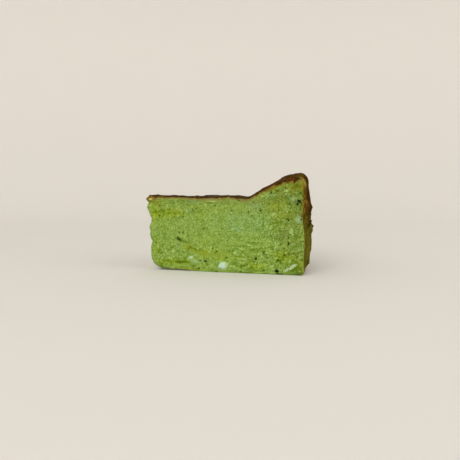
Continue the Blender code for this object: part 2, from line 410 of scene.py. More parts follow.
# What shows in the crumb: each kind's colour, how far it stands out of the cut as a share
# of its size, how fully it covers the green, and how soft its edge is in mm
markKinds = dict(
    # near-black: painted shade inside the hole, laid in a shallow dent
    hole=("#141d04", -0.9, 0.95, 0.6),
    speck=("#3a5a0c", -0.5, 0.85, 0.6),
    dent=("#5c7a1a", -0.3, 0.8, 0.6),
    slot=("#587004", -0.35, 0.9, 0.6),
    gouge=("#2a4204", -0.9, 0.95, 0.6),
    smear=("#889b28", -0.1, 0.7, 1.6),
    grey=("#7a8e5c", -0.1, 0.45, 1.4),
    pale=("#aac672", 0.12, 0.8, 0.6),
    milky=("#9ab77c", 0.08, 0.75, 1.6),
    cream=("#c2dac8", 0.3, 1.0, 0.5),
    flap=("#b8ca9c", 0.3, 0.95, 0.5),
    tan=("#8e8a52", 0.0, 0.7, 1.0),
    # pale yellow: a painted highlight, where light glints on a glossy lump
    glaze=("#e2d27c", 0.3, 0.95, 0.5),
    honey=("#96782c", 0.1, 0.7, 0.6),
    amber=("#85761e", 0.05, 0.8, 0.6),
    toast=("#6a5018", 0.1, 0.8, 0.6),
    rust=("#5a3408", 0.05, 0.8, 0.6),
    cocoa=("#6a4a2e", 0.15, 0.75, 1.0),
    olive=("#504c18", 0.0, 0.75, 1.6),
    char=("#1c0c02", -0.2, 0.9, 0.6),
    # dark baked skin; in a band on the wall and one patch beside the near cut it is painted shade
    bark=("#342306", 0.1, 0.85, 0.7),
    moss=("#66651c", 0.05, 0.7, 0.8),
    # pale tan: painted light, lightening the wall's edge beside the near cut
    ochre=("#a89846", 0.05, 0.55, 1.8),
)
# broad tints, as shares of red, green and blue left in the crumb
tintKinds = dict(
    yellow=(1.08, 1.0, 0.45),
    blue=(0.95, 1.0, 1.4),
    dim=(0.86, 0.84, 0.86),
    olive=(0.96, 0.86, 0.6),
    shade=(0.99, 0.95, 0.91),
    straw=(1.05, 1.0, 0.7),
    # foot darkens the base: partly a browned base edge, partly painted shade where the slice meets
    # the floor
    foot=(0.5, 0.56, 0.4),
    dusk=(0.68, 0.70, 0.55),
)

# The piece, and its marks: kind, distance from the tip, height, half length, half width
# (all mm) and tilt in degrees, first as the near cut shows them
cake = dict(
    name="slice_of_cake",
    cells=(204, 94, 112),          # along the radius, across the wedge, up
    nearMarks=(
        ("hole", 73.0, 32.3, 0.75, 0.60, -20), ("hole", 72.3, 32.6, 0.5, 0.4, 10),
        ("hole", 72.0, 31.4, 0.65, 0.48, -10), ("speck", 73.9, 30.8, 0.55, 0.4, 20),
        ("speck", 73.7, 31.3, 0.45, 0.37, 20), ("pale", 61.6, 2.4, 0.8, 0.5, 15),
        ("hole", 63.1, 1.5, 1.0, 0.75, 0), ("hole", 64.2, 0.3, 1.4, 0.3, 0),
        ("hole", 68.2, 24.2, 0.35, 0.33, 0), ("hole", 68.2, 13.8, 0.37, 0.80, 0),
        ("speck", 68.2, 16.7, 0.38, 0.50, 0), ("hole", 66.3, 8.9, 0.42, 0.40, 0),
        ("speck", 70.5, 9.7, 0.35, 0.35, 0), ("speck", 58.2, 8.8, 0.57, 0.36, 25),
        ("hole", 53.6, 7.0, 0.50, 0.50, 0), ("speck", 74.3, 7.1, 0.52, 0.35, 10),
        ("speck", 72.0, 8.3, 0.35, 0.29, 0), ("speck", 66.2, 11.9, 0.42, 0.24, -10),
        ("hole", 60.5, 36.4, 0.33, 0.44, 0), ("hole", 63.4, 37.1, 0.46, 0.31, 0),
        ("speck", 66.8, 38.5, 0.35, 0.33, 0), ("hole", 55.7, 28.5, 0.47, 0.31, 0),
        ("speck", 68.5, 31.3, 0.59, 0.41, 45), ("dent", 63.7, 31.8, 0.66, 0.31, 60),
        ("speck", 69.6, 24.9, 0.46, 0.33, 0), ("speck", 67.5, 24.9, 0.53, 0.35, 0),
        ("hole", 73.5, 24.6, 0.50, 0.37, 10), ("speck", 73.9, 25.9, 0.35, 0.30, 0),
        ("speck", 72.4, 36.0, 0.37, 0.35, 0), ("speck", 73.9, 35.7, 0.39, 0.43, 0),
        ("speck", 74.2, 34.8, 0.35, 0.41, 0), ("grey", 64.8, 18.2, 0.49, 0.66, 0),
        ("dent", 64.5, 16.8, 0.31, 0.31, 0), ("dent", 53.9, 19.8, 0.32, 0.43, 0),
        ("dent", 57.9, 19.3, 0.43, 0.29, 0), ("dent", 70.6, 20.8, 0.46, 0.33, 0),
        ("speck", 35.3, 9.5, 0.53, 0.42, 20), ("speck", 33.3, 11.0, 0.62, 0.39, 0),
        ("speck", 39.8, 6.8, 0.62, 0.32, 0), ("dent", 48.0, 11.8, 0.39, 0.32, 0),
        ("dent", 52.5, 11.0, 0.73, 0.29, 0), ("dent", 50.1, 7.6, 0.39, 0.30, 0),
        ("speck", 46.7, 3.2, 0.47, 0.32, 0), ("speck", 48.3, 3.6, 0.42, 0.32, 0),
        ("speck", 49.6, 4.2, 0.30, 0.36, 0), ("slot", 51.3, 2.6, 1.43, 0.23, -2),
        ("slot", 50.0, 1.8, 0.97, 0.23, 0), ("hole", 46.5, 0.7, 0.49, 0.32, 0),
        ("speck", 44.5, 0.8, 0.49, 0.25, 0), ("hole", 35.1, 0.3, 0.53, 0.35, 0),
        ("speck", 33.4, 0.7, 0.53, 0.30, 0), ("hole", 27.2, 5.1, 0.56, 0.40, 10),
        ("hole", 29.8, 4.8, 0.65, 0.44, -15), ("slot", 24.0, 2.6, 0.8, 0.48, -10),
        ("hole", 26.6, 1.3, 0.46, 0.38, 0), ("speck", 29.0, 20.1, 0.44, 0.42, 0),
        ("dent", 26.5, 17.3, 0.46, 0.39, 0), ("speck", 17.0, 17.9, 0.40, 0.47, 0),
        ("speck", 19.0, 18.0, 0.74, 0.33, 70), ("dent", 9.4, 15.5, 0.43, 0.64, 0),
        ("dent", 24.7, 12.4, 0.37, 0.44, 0), ("dent", 32.9, 23.7, 0.45, 0.39, 0),
        ("dent", 37.8, 20.2, 0.71, 0.48, 0), ("dent", 42.0, 18.8, 0.73, 0.30, 5),
        ("dent", 36.3, 17.6, 0.50, 0.41, 0), ("dent", 44.6, 17.4, 0.49, 0.48, 0),
        ("dent", 41.3, 15.8, 0.33, 0.48, 0), ("dent", 34.0, 12.7, 0.57, 0.44, 0),
        ("dent", 35.8, 13.6, 0.74, 0.25, -60), ("speck", 34.5, 30.5, 0.45, 0.41, 0),
        ("dent", 28.2, 28.4, 0.51, 0.37, 20), ("dent", 26.9, 27.7, 0.56, 0.35, 0),
        ("speck", 25.6, 29.1, 0.44, 0.30, 0), ("speck", 42.3, 28.3, 0.37, 0.43, 0),
        ("speck", 50.2, 27.7, 0.41, 0.40, 0), ("dent", 51.6, 26.2, 0.73, 0.34, -10),
        ("speck", 45.7, 32.9, 0.49, 0.34, 0), ("speck", 7.1, 30.3, 0.43, 0.40, 0),
        ("dent", 14.5, 31.6, 0.52, 0.44, 0), ("dent", 19.5, 32.4, 0.52, 0.56, 0),
        ("slot", 5.3, 27.4, 0.64, 0.78, 0), ("speck", 7.4, 27.8, 1.17, 0.31, 50),
        ("speck", 9.3, 28.0, 0.71, 0.35, 15), ("dent", 12.3, 28.5, 0.83, 0.49, 0),
        ("speck", 7.2, 25.8, 0.61, 0.38, 60), ("dent", 8.5, 25.3, 0.63, 0.28, -10),
        ("slot", 14.9, 26.8, 0.87, 0.37, -10), ("dent", 19.1, 26.7, 0.32, 0.58, 0),
        ("speck", 18.9, 25.1, 0.59, 0.35, 0), ("slot", 14.7, 25.3, 0.87, 0.30, 20),
        ("dent", 16.4, 24.3, 1.29, 0.26, 3), ("slot", 24.0, 28.1, 1.2, 0.46, -62),
        ("dent", 59.6, 33.2, 0.76, 0.26, -12), ("dent", 62.0, 31.6, 0.60, 0.29, -40),
        ("dent", 71.5, 27.5, 0.26, 0.76, 5), ("dent", 36.0, 3.4, 1.4, 0.35, 75),
        # The cream lump, with a grey patch of painted shadow below it to the left
        ("pale", 38.4, 3.2, 2.6, 1.9, 20), ("cream", 38.5, 3.4, 2.1, 1.45, 10),
        ("grey", 37.3, 1.7, 1.2, 0.7, -20), ("pale", 39.9, 3.9, 0.8, 0.5, 60),
        ("pale", 22.7, 6.3, 1.5, 0.75, 12), ("cream", 22.9, 6.5, 0.75, 0.42, 25),
        ("milky", 24.9, 4.6, 1.7, 0.9, -15), ("flap", 69.0, 3.1, 2.9, 0.68, 32),
        ("flap", 70.2, 3.9, 1.2, 0.6, 30), ("dent", 68.5, 3.6, 0.45, 0.35, 20),
        # The two slots below and the first dent after them are painted shade in the crevices along
        # the torn flap's edges
        ("slot", 69.9, 5.2, 2.0, 0.28, 10), ("slot", 70.1, 2.3, 2.3, 0.32, 36),
        ("dent", 71.4, 2.4, 1.98, 0.35, 36), ("speck", 57.0, 1.6, 0.35, 0.45, 0),
        ("milky", 72.4, 24.7, 1.17, 1.22, 0), ("milky", 70.0, 33.5, 0.74, 0.78, 0),
        ("pale", 67.1, 37.2, 0.99, 0.48, 10), ("pale", 67.5, 28.2, 0.35, 0.39, 0),
        ("pale", 61.7, 27.1, 1.16, 0.38, 5), ("pale", 69.6, 20.3, 0.77, 0.40, -50),
        ("pale", 60.5, 21.7, 0.38, 0.36, 0), ("pale", 57.8, 22.7, 0.47, 0.40, 0),
        ("pale", 53.9, 17.7, 0.43, 0.36, 0), ("pale", 42.9, 15.8, 0.91, 0.36, -52),
        ("pale", 42.8, 20.0, 0.54, 0.41, 0), ("pale", 46.9, 15.5, 0.46, 0.39, 0),
        ("pale", 50.4, 12.9, 0.90, 0.34, -12), ("pale", 32.3, 22.6, 0.43, 0.30, 0),
        ("pale", 26.1, 13.2, 0.46, 0.54, 0), ("pale", 42.2, 27.3, 0.37, 0.34, 0),
        ("pale", 29.8, 30.9, 0.60, 0.34, 0), ("pale", 54.8, 9.0, 0.57, 0.47, 0),
        ("pale", 60.1, 10.7, 0.52, 0.36, 0), ("tan", 32.8, 33.2, 2.38, 0.73, -4),
        ("pale", 33.2, 32.4, 1.67, 0.27, -3), ("slot", 32.3, 31.7, 1.67, 0.30, -3),
        ("tan", 47.6, 33.2, 1.61, 0.38, -14), ("gouge", 16.5, 15.0, 1.4, 0.72, -36),
        ("gouge", 17.6, 14.2, 1.0, 0.40, -26), ("slot", 19.7, 13.7, 2.1, 0.38, -9),
        ("grey", 16.6, 12.3, 1.30, 1.08, 0), ("smear", 20.4, 11.9, 1.63, 1.08, -20),
        ("smear", 24.1, 10.0, 2.3, 0.9, -28), ("slot", 22.5, 11.1, 0.7, 0.5, -20),
        ("smear", 28.8, 8.9, 5.82, 1.16, -9), ("slot", 25.3, 10.3, 2.5, 0.34, -9),
        ("slot", 19.3, 4.1, 2.7, 0.42, 0), ("slot", 16.6, 4.0, 2.1, 0.66, 0),
        ("dent", 11.2, 4.2, 2.03, 0.43, -8), ("slot", 11.5, 4.6, 0.34, 0.80, 15),
        ("amber", 3.6, 33.5, 1.40, 0.75, 15), ("honey", 4.3, 33.9, 0.7, 0.5, 40),
        # A painted highlight on the tip's lump, where light glints on it
        ("glaze", 2.7, 33.4, 0.6, 0.34, 20), ("toast", 0.9, 33.7, 0.4, 0.6, 0),
        ("toast", 2.0, 32.6, 0.9, 0.3, 0), ("tan", 7.0, 33.9, 0.8, 0.35, 10),
        ("toast", 9.7, 34.0, 0.45, 0.35, 0), ("toast", 74.3, 26.6, 0.50, 0.60, 0),
        ("speck", 74.4, 29.7, 0.35, 0.39, 0), ("speck", 74.4, 33.0, 0.30, 0.43, 0),
        ("amber", 74.1, 39.0, 0.56, 2.80, 0), ("amber", 74.2, 31.0, 0.39, 3.04, 0),
        ("char", 72.8, 42.9, 1.5, 0.55, -3), ("char", 74.2, 42.9, 0.50, 0.40, -10),
        ("tan", 73.9, 41.7, 0.8, 0.35, 0), ("rust", 69.4, 42.0, 1.20, 0.43, 8),
        ("honey", 3.9, 34.5, 1.5, 0.6, 5), ("toast", 8.2, 34.5, 2.27, 0.42, 0),
        ("honey", 69.6, 41.1, 0.78, 0.35, 5), ("honey", 66.0, 40.4, 0.75, 0.37, 25),
        ("char", 70.6, 41.0, 0.37, 0.50, 0), ("speck", 67.9, 40.4, 0.37, 0.33, 0),
        ("honey", 60.8, 38.8, 1.33, 0.48, 30), ("char", 30.1, 34.5, 1.92, 0.34, -4),
    ),
    # broad tints of the crumb on the near cut, given in the same way
    nearTints=(
        ("yellow", 5, 27, 2.3, 4.3, 0), ("yellow", 12, 27, 8.0, 2.1, 0),
        ("straw", 5.5, 11, 1.9, 4.5, 0), ("straw", 35, 8, 8.6, 2.8, -6),
        ("yellow", 15, 4, 8.5, 1.7, 0), ("yellow", 54, 3, 4.1, 1.8, 0),
        ("yellow", 73, 4, 2.4, 2.9, 0), ("yellow", 67, 8, 6.2, 2.7, 0),
        ("straw", 63, 32, 5.0, 2.6, 0), ("straw", 67, 26, 3.5, 2.2, 0),
        ("yellow", 72, 39, 3.9, 1.9, 0), ("blue", 23, 32, 3.4, 1.6, 0),
        ("blue", 45, 20, 1.9, 1.4, 0), ("blue", 22, 28, 2.5, 1.4, 0),
        ("blue", 60, 35, 2.9, 1.8, 0), ("blue", 73, 25, 2.0, 2.0, 0),
        ("blue", 69, 34, 1.7, 1.7, 0), ("blue", 54, 30, 3.2, 2.2, 0),
        ("blue", 46, 23, 13.9, 5.0, 0), ("dim", 65, 18, 3.1, 2.2, 0),
        ("dim", 72, 22, 7.4, 26.3, 0), ("dim", 65, 35, 5.7, 3.1, 20),
        ("dim", 39, 32.4, 39.9, 1.5, 0), ("olive", 62, 38, 7.5, 1.8, 28),
        ("shade", 39, 30, 48, 4.5, 0), ("shade", 68, 24, 9, 16, 0), ("olive", 72.5, 40.5, 3, 2, 0),
        ("olive", 5, 32, 5, 2.2, 0), ("shade", 57, 31, 6, 4, 0), ("olive", 68.5, 37, 5, 2.6, 10),
        ("dim", 73, 3.4, 3.0, 2.6, 0), ("shade", 63, 27, 4, 3, 0), ("shade", 36, 8.5, 4, 2, 0),
        # Along the base the foot tint is partly a browned edge and partly painted shade where the
        # slice meets the floor; under the tip's curl and the outer corner it is painted shade
        ("foot", 54, 0.0, 34, 0.45, 0), ("foot", 9.0, 1.2, 4.5, 0.7, -14),
        ("foot", 72.6, 0.3, 3.6, 1.2, 10), ("olive", 20, 1.0, 9, 1.3, 0),
        ("dusk", 72.2, 39.0, 3.2, 2.2, 0),
    ),
    # bands of crumbs torn by the knife: distance range, height range, how many, kind
    nearBands=((4.0, 21.0, 25.0, 28.6, 16, "dent"), (2.0, 10.0, 8.0, 20.0, 14, "dent"),
               (46.0, 73.5, 1.5, 12.0, 60, "dent"),
               (46.0, 73.5, 1.5, 12.0, 6, "speck"), (72.5, 74.5, 24.0, 38.0, 5, "speck"),
               (56.0, 73.0, 20.0, 38.0, 34, "dent"), (46.0, 74.0, 2.0, 13.0, 30, "pale"),
               (56.0, 73.5, 12.0, 36.0, 18, "pale"), (56.0, 73.5, 12.0, 22.0, 22, "dent"),
               (4.0, 35.0, 1.5, 12.0, 34, "dent"), (4.0, 35.0, 2.0, 12.0, 16, "pale"),
               (40.0, 50.0, 1.5, 10.0, 14, "dent"), (40.0, 50.0, 2.0, 10.0, 8, "pale")),
    # their smallest half length and how much may be added, their width as a share of it
    # from and to, and the most that they tilt, degrees
    bandSizes=(0.3, 0.5), bandWidths=(0.45, 1.0), bandTilt=60.0,
    # the same on the far cut
    farMarks=(("cream", 28.5, 21.0, 1.1, 0.9, 30), ("pale", 52.0, 12.0, 2.2, 0.8, -12),
              ("cream", 61.5, 27.5, 0.8, 0.6, 0), ("hole", 47.0, 6.0, 0.8, 0.6, 20),
              ("smear", 40.0, 17.0, 5.5, 1.1, 10), ("slot", 58.0, 5.4, 3.0, 0.35, -3),
              ("hole", 66.5, 19.0, 0.7, 0.6, 0), ("grey", 21.0, 9.0, 1.6, 1.3, 0),
              ("hole", 33.5, 28.0, 0.5, 0.6, 0), ("pale", 14.0, 16.0, 1.4, 0.7, 20)),
    farTints=(("yellow", 60, 8, 10.0, 5.0, 0), ("yellow", 12, 12, 7.0, 8.0, 0),
              ("blue", 38, 24, 12.0, 6.0, 0), ("dim", 72, 20, 7.0, 26.0, 0),
              ("olive", 39, 32, 40.0, 1.6, 0), ("yellow", 46, 28, 9.0, 2.5, 10),
              # Along the far cut's base: partly a browned edge, partly painted shade where it meets
              # the floor
              ("foot", 44, 0.0, 40.0, 0.45, 0)),
    farBands=((6.0, 72.0, 2.0, 32.0, 110, "dent"), (6.0, 72.0, 2.0, 32.0, 44, "speck"),
              (58.0, 73.0, 30.0, 37.0, 12, "speck"), (8.0, 72.0, 3.0, 31.0, 30, "pale"),
              (6.0, 70.0, 2.0, 30.0, 12, "hole")),
    # the same on the top, with degrees from the near cut for the height
    topMarks=(("olive", 73.2, 6.5, 2.2, 2.2, 0), ("char", 71.2, 3.4, 1.4, 0.9, 4),
              ("char", 72.4, 1.2, 1.5, 0.9, 0),
              ("rust", 67.0, 1.6, 3.0, 1.2, 0), ("cocoa", 63.5, 2.6, 2.2, 1.0, 10),
              ("toast", 59.0, 1.5, 1.8, 0.9, 0),
              ("honey", 57.2, 0.8, 0.7, 0.5, 0), ("honey", 62.0, 0.9, 0.6, 0.5, 0),
              ("char", 60.8, 1.1, 0.9, 0.5, 20), ("honey", 73.5, 2.2, 1.2, 1.0, 0)),
    topBands=((6.0, 70.0, 2.0, 43.0, 34, "char"), (6.0, 70.0, 2.0, 43.0, 40, "toast"),
              (20.0, 72.0, 2.0, 43.0, 8, "honey"), (50.0, 74.0, 2.0, 43.0, 12, "cocoa")),
    # the same on the wall: degrees from the near cut, height, half width, half height
    wallMarks=(("honey", 1.0, 34.3, 1.2, 0.9, 0), ("honey", 3.2, 32.5, 1.6, 0.8, 0),
               ("bark", 1.3, 31.1, 1.5, 0.8, 0), ("honey", 4.2, 32.2, 1.6, 0.8, 0),
               # The dark marks from 10 to 13 degrees are painted shade, where the wall turns away
               # from the light, and the one at 1.6 degrees and 26 mm is a patch of painted shade;
               # the others are dark baked skin
               ("bark", 10.5, 33.5, 2.6, 4.5, 0), ("cocoa", 3.2, 30.3, 1.5, 0.8, 0),
               # Pale tan at the top beside the near cut: painted light on the wall's edge
               ("honey", 1.2, 28.9, 1.1, 0.8, 0), ("ochre", 2.8, 41.0, 1.7, 2.5, 0),
               ("bark", 12.9, 17.0, 0.8, 3.6, 0), ("bark", 12.6, 8.0, 0.7, 3.0, 0),
               ("olive", 3.4, 13.6, 1.4, 2.6, 0),
               ("moss", 6.5, 15.5, 1.2, 5.5, 0), ("bark", 8.0, 22.0, 3.6, 1.1, 20),
               ("olive", 2.2, 7.0, 1.3, 3.4, 0), ("bark", 5.6, 27.4, 1.6, 1.1, 0),
               ("bark", 1.6, 26.0, 2.0, 1.1, 0), ("bark", 1.8, 24.4, 1.3, 0.6, 0),
               ("bark", 11.5, 41.0, 2.8, 4.5, 0), ("bark", 4.4, 8.0, 0.4, 7.0, 0),
               ("olive", 4.0, 18.5, 0.5, 6.0, 0), ("moss", 0.8, 22.8, 0.8, 1.2, 0)),
    wallBands=((14.0, 44.0, 2.0, 20.0, 16, "olive"), (14.0, 44.0, 16.0, 40.0, 26, "bark"),
               (14.0, 44.0, 10.0, 38.0, 16, "honey")),
    # size of the waves in all these edges, with their share of a mark's size
    waves=((0.8, 0.35), (1.7, 0.25)), markWaves=0.6,
    # a tint at its middle, its drop from there to its rim, and its waves, as shares
    tintFade=(1.2, 0.8, 0.3),
    stainEdge=0.25,                # marks fade out this close to a cut's edge
    # The knife's curved path over the near cut: where it starts, its length, rise and sag
    dragPath=(38.0, 36.0, 4.4, 2.2),
    # where its streaks fade in from the tip's side and out upwards, and over what distance
    dragFade=(32.0, 16.0, 24.0, 9.0),
    # the streaks: depth, width, width as a share of their length, share on the far cut
    dragDepth=0.05, dragSize=1.1, dragStretch=0.12, farDragShare=0.35,
    farPlace=200.0,                # keeps the far cut's streaks apart from the near cut's
    # distance from the tip, how open and uneven the crumb is there, as a share
    openness=((0.0, 0.6), (16.0, 0.5), (30.0, 0.1), (46.0, 0.0), (58.0, 0.85), (75.0, 0.8)),
    seed=7,
)


def bandMarks(bands, seed):
    # Small marks drawn at random inside each band: half length = smallest + extra * v^2
    draw = np.random.default_rng(seed)
    smallest, extra = cake["bandSizes"]
    marks = []
    for startR, endR, lowZ, highZ, count, kind in bands:
        r, z = draw.uniform(startR, endR, count), draw.uniform(lowZ, highZ, count)
        size = smallest + extra * draw.random(count) ** 2
        width = draw.uniform(*cake["bandWidths"], count)
        tilt = draw.uniform(-cake["bandTilt"], cake["bandTilt"], count)
        marks += zip([kind] * count, r, z, size, size * width, tilt)
    return marks


def allMarks():
    # Drawn and listed marks of near cut, far cut, top and wall, with degrees as an arc in mm
    near, far, top, wall = (bandMarks(cake[side + "Bands"], cake["seed"] + number)
                            + list(cake[side + "Marks"])
                            for number, side in enumerate(("near", "far", "top", "wall")))
    top = [(kind, r, r * math.radians(degrees), *rest) for kind, r, degrees, *rest in top]
    wall = [(kind, wedge["wallRadius"] * math.radians(degrees), z, *rest)
            for kind, degrees, z, *rest in wall]
    return near, far, top, wall


def ellipse(r, z, mark):
    # Distance from a tilted ellipse's middle, 1 on its rim
    centreR, centreZ, halfLength, halfWidth, tilt = mark
    turn = math.radians(tilt)
    right = (r - centreR) * math.cos(turn) + (z - centreZ) * math.sin(turn)
    rise = (z - centreZ) * math.cos(turn) - (r - centreR) * math.sin(turn)
    return np.hypot(right / halfLength, rise / halfWidth)


def broadTints(r, z, isFar, ragged):
    # Each tint multiplied in, in full at its middle and fading out a little past its rim
    middle, drop, waves = cake["tintFade"]
    tint = np.ones((len(r), 3))
    for side, key in ((1.0 - isFar, "nearTints"), (isFar, "farTints")):
        for kind, *mark in cake[key]:
            share = softStep(middle - drop * ellipse(r, z, mark) + waves * ragged) * side
            tint *= 1.0 + share[:, None] * (np.array(tintKinds[kind]) - 1.0)
    return tint


def curdRelief(r, z, isFar, points):
    # Curds as blended noise, with the knife's streaks
    total = np.zeros(r.shape)
    for cell, height, seed in relief["curds"]:
        total += height * latticeNoise(points, cell, seed)
    place = dragPlace(r, z, isFar) * np.array([cake["dragStretch"], 1.0, 1.0])
    streaks = latticeNoise(place, cake["dragSize"], cake["seed"])
    return total + cake["dragDepth"] * streaks * dragShare(r, z, isFar)


def layMarks(sides, ragged):
    # Marks laid over one another, on each side in turn: colour = old + (own - old) * share;
    # returns how far they stand out, and their colour with its cover
    total, cover, colour = np.zeros(len(ragged)), np.zeros(len(ragged)), np.zeros((len(ragged), 3))
    for marks, across, up, onSide in sides:
        for kind, *mark in marks:
            hexCode, lift, strength, soft = markKinds[kind]
            edge = min(mark[2:4]) / soft
            fromRim = 1.0 + cake["markWaves"] * ragged - ellipse(across, up, mark)
            inside = softStep(0.5 + fromRim * edge) * onSide
            total += lift * min(mark[2:4]) * inside
            share = inside * strength
            colour += (np.array(linearColour(hexCode)[:3]) - colour) * share[:, None]
            cover += (1.0 - cover) * share
    return total, np.column_stack([colour / np.maximum(cover, 1e-6)[:, None], cover])


def dragPlace(r, z, isFar):
    # Distance from the tip, side, and height over the knife's path:
    # z - rise * run + sag * sin(pi * run)
    start, length, rise, sag = cake["dragPath"]
    run = np.clip((r - start) / length, 0.0, 1.0)
    height = z - rise * run + sag * np.sin(math.pi * run)
    return np.column_stack([r, cake["farPlace"] * isFar, height])


def dragShare(r, z, isFar):
    # How much the knife's streaks show: softStep along the cut * softStep down from the top
    start, reach, top, fade = cake["dragFade"]
    near = softStep((r - start) / reach) * softStep((top - z) / fade)
    return near + (cake["farDragShare"] - near) * isFar


# How the skin's colour reaches into a cut, in millimetres
skinLine = dict(
    # distance from the tip, depth of the dark line under the top
    topDepth=((0.0, 1.3), (5.0, 0.9), (10.0, 0.9), (46.0, 0.9), (56.0, 1.2), (61.0, 1.7),
              (66.0, 2.3), (71.0, 1.9), (73.0, 0.7), (75.0, 0.4)),
    # distance from the tip, depth of the browned crumb under that line
    topUnder=((0.0, 1.2), (10.0, 1.1), (46.0, 1.2), (51.0, 1.4), (58.0, 1.6), (64.0, 1.1),
              (75.0, 1.2)),
    # height, depth of the dark line behind the wall
    wallDepth=((0.0, 0.2), (19.0, 0.25), (24.0, 0.5), (27.0, 0.55), (30.0, 0.25), (38.0, 0.3),
               (43.0, 0.2)),
    wallUnder=0.45,
    wallReach=3.0,                 # the wall's look fades out this far in on top and base
    # the rim's look: distance from the tip where it starts and over how far it grows, its
    # share near the base, and the height where it grows to full, and over how much
    rimStart=(47.0, 14.0), rimLow=0.25, rimHeight=(16.0, 10.0),
)
# Where knife and fingers wore the skin off beside a cut: height in mm with how far it
# reaches round the wall in degrees, and the distance from the tip where it starts on top
wear = dict(reach=((0.0, 4.0), (28.0, 5.0), (38.0, 7.0), (43.6, 6.0)), start=70.5, fade=3.0)


def surfaceSides(cells):
    # Which of the block's six sides each quad belongs to, and the quads' corners
    shape = tuple(count + 1 for count in cells)
    corner = np.arange(np.prod(shape)).reshape(shape)
    sides = dict(base=(corner[:, :, 0], True), top=(corner[:, :, -1], False),
                 nearCut=(corner[:, 0, :], False), farCut=(corner[:, -1, :], True),
                 tip=(corner[0], True), wall=(corner[-1], False))
    quads, owners = [], []
    for number, (grid, turned) in enumerate(sides.values()):
        ring = np.stack([grid[:-1, :-1], grid[1:, :-1], grid[1:, 1:], grid[:-1, 1:]], axis=-1)
        ring = ring.reshape(-1, 4)
        quads.append(ring[:, ::-1] if turned else ring)
        owners.append(np.full(len(ring), number))
    used, faces = np.unique(np.concatenate(quads), return_inverse=True)
    return list(sides), used, faces.reshape(-1, 4), np.concatenate(owners)


def addValues(mesh, name, kind, field, values):
    mesh.attributes.new(name, kind, "POINT").data.foreach_set(field, values)


# Where each side lies on the slice's own map, in shares of it: left, bottom, width,
# height, and whether it is turned a quarter
mapPlaces = dict(
    nearCut=(0.010, 0.010, 0.320, 0.535, True), farCut=(0.340, 0.010, 0.320, 0.535, True),
    wall=(0.670, 0.010, 0.320, 0.420, True), tip=(0.670, 0.950, 0.250, 0.030, True),
    top=(0.010, 0.560, 0.535, 0.420, False), base=(0.560, 0.560, 0.430, 0.370, False),
)
mapTip = 0.05                      # width of top and base at the tip, as a share


def layOut(mesh, names, owners, along, across, up):
    # Each side fills its own rectangle; top and base keep their wedge shape
    vertex = np.empty(len(mesh.loops), dtype=int)
    mesh.loops.foreach_get("vertex_index", vertex)
    counts = np.empty(len(mesh.polygons), dtype=int)
    mesh.polygons.foreach_get("loop_total", counts)
    owner = np.repeat(owners, counts)
    a, b, c = along[vertex], across[vertex], up[vertex]
    wedgeSide = 0.5 + (b - 0.5) * (mapTip + (1.0 - mapTip) * a)
    flat = dict(nearCut=(a, c), farCut=(a, c), wall=(b, c), tip=(b, c), top=(a, wedgeSide),
                base=(a, wedgeSide))
    spots = np.zeros((len(vertex), 2))
    for number, name in enumerate(names):
        left, bottom, width, height, turned = mapPlaces[name]
        first, second = flat[name][::-1] if turned else flat[name]
        inside = np.column_stack([left + width * first, bottom + height * second])
        spots[owner == number] = inside[owner == number]
    layer = mesh.uv_layers.new(name="OFBake")
    layer.data.foreach_set("uv", spots.ravel())


def flattenBase(mesh, isFlat):
    # The base's flat cells become one face
    work = bmesh.new()
    work.from_mesh(mesh)
    work.faces.ensure_lookup_table()
    chosen = [work.faces[number] for number in np.flatnonzero(isFlat)]
    bmesh.ops.dissolve_faces(work, faces=chosen, use_verts=False)
    work.to_mesh(mesh)
    work.free()


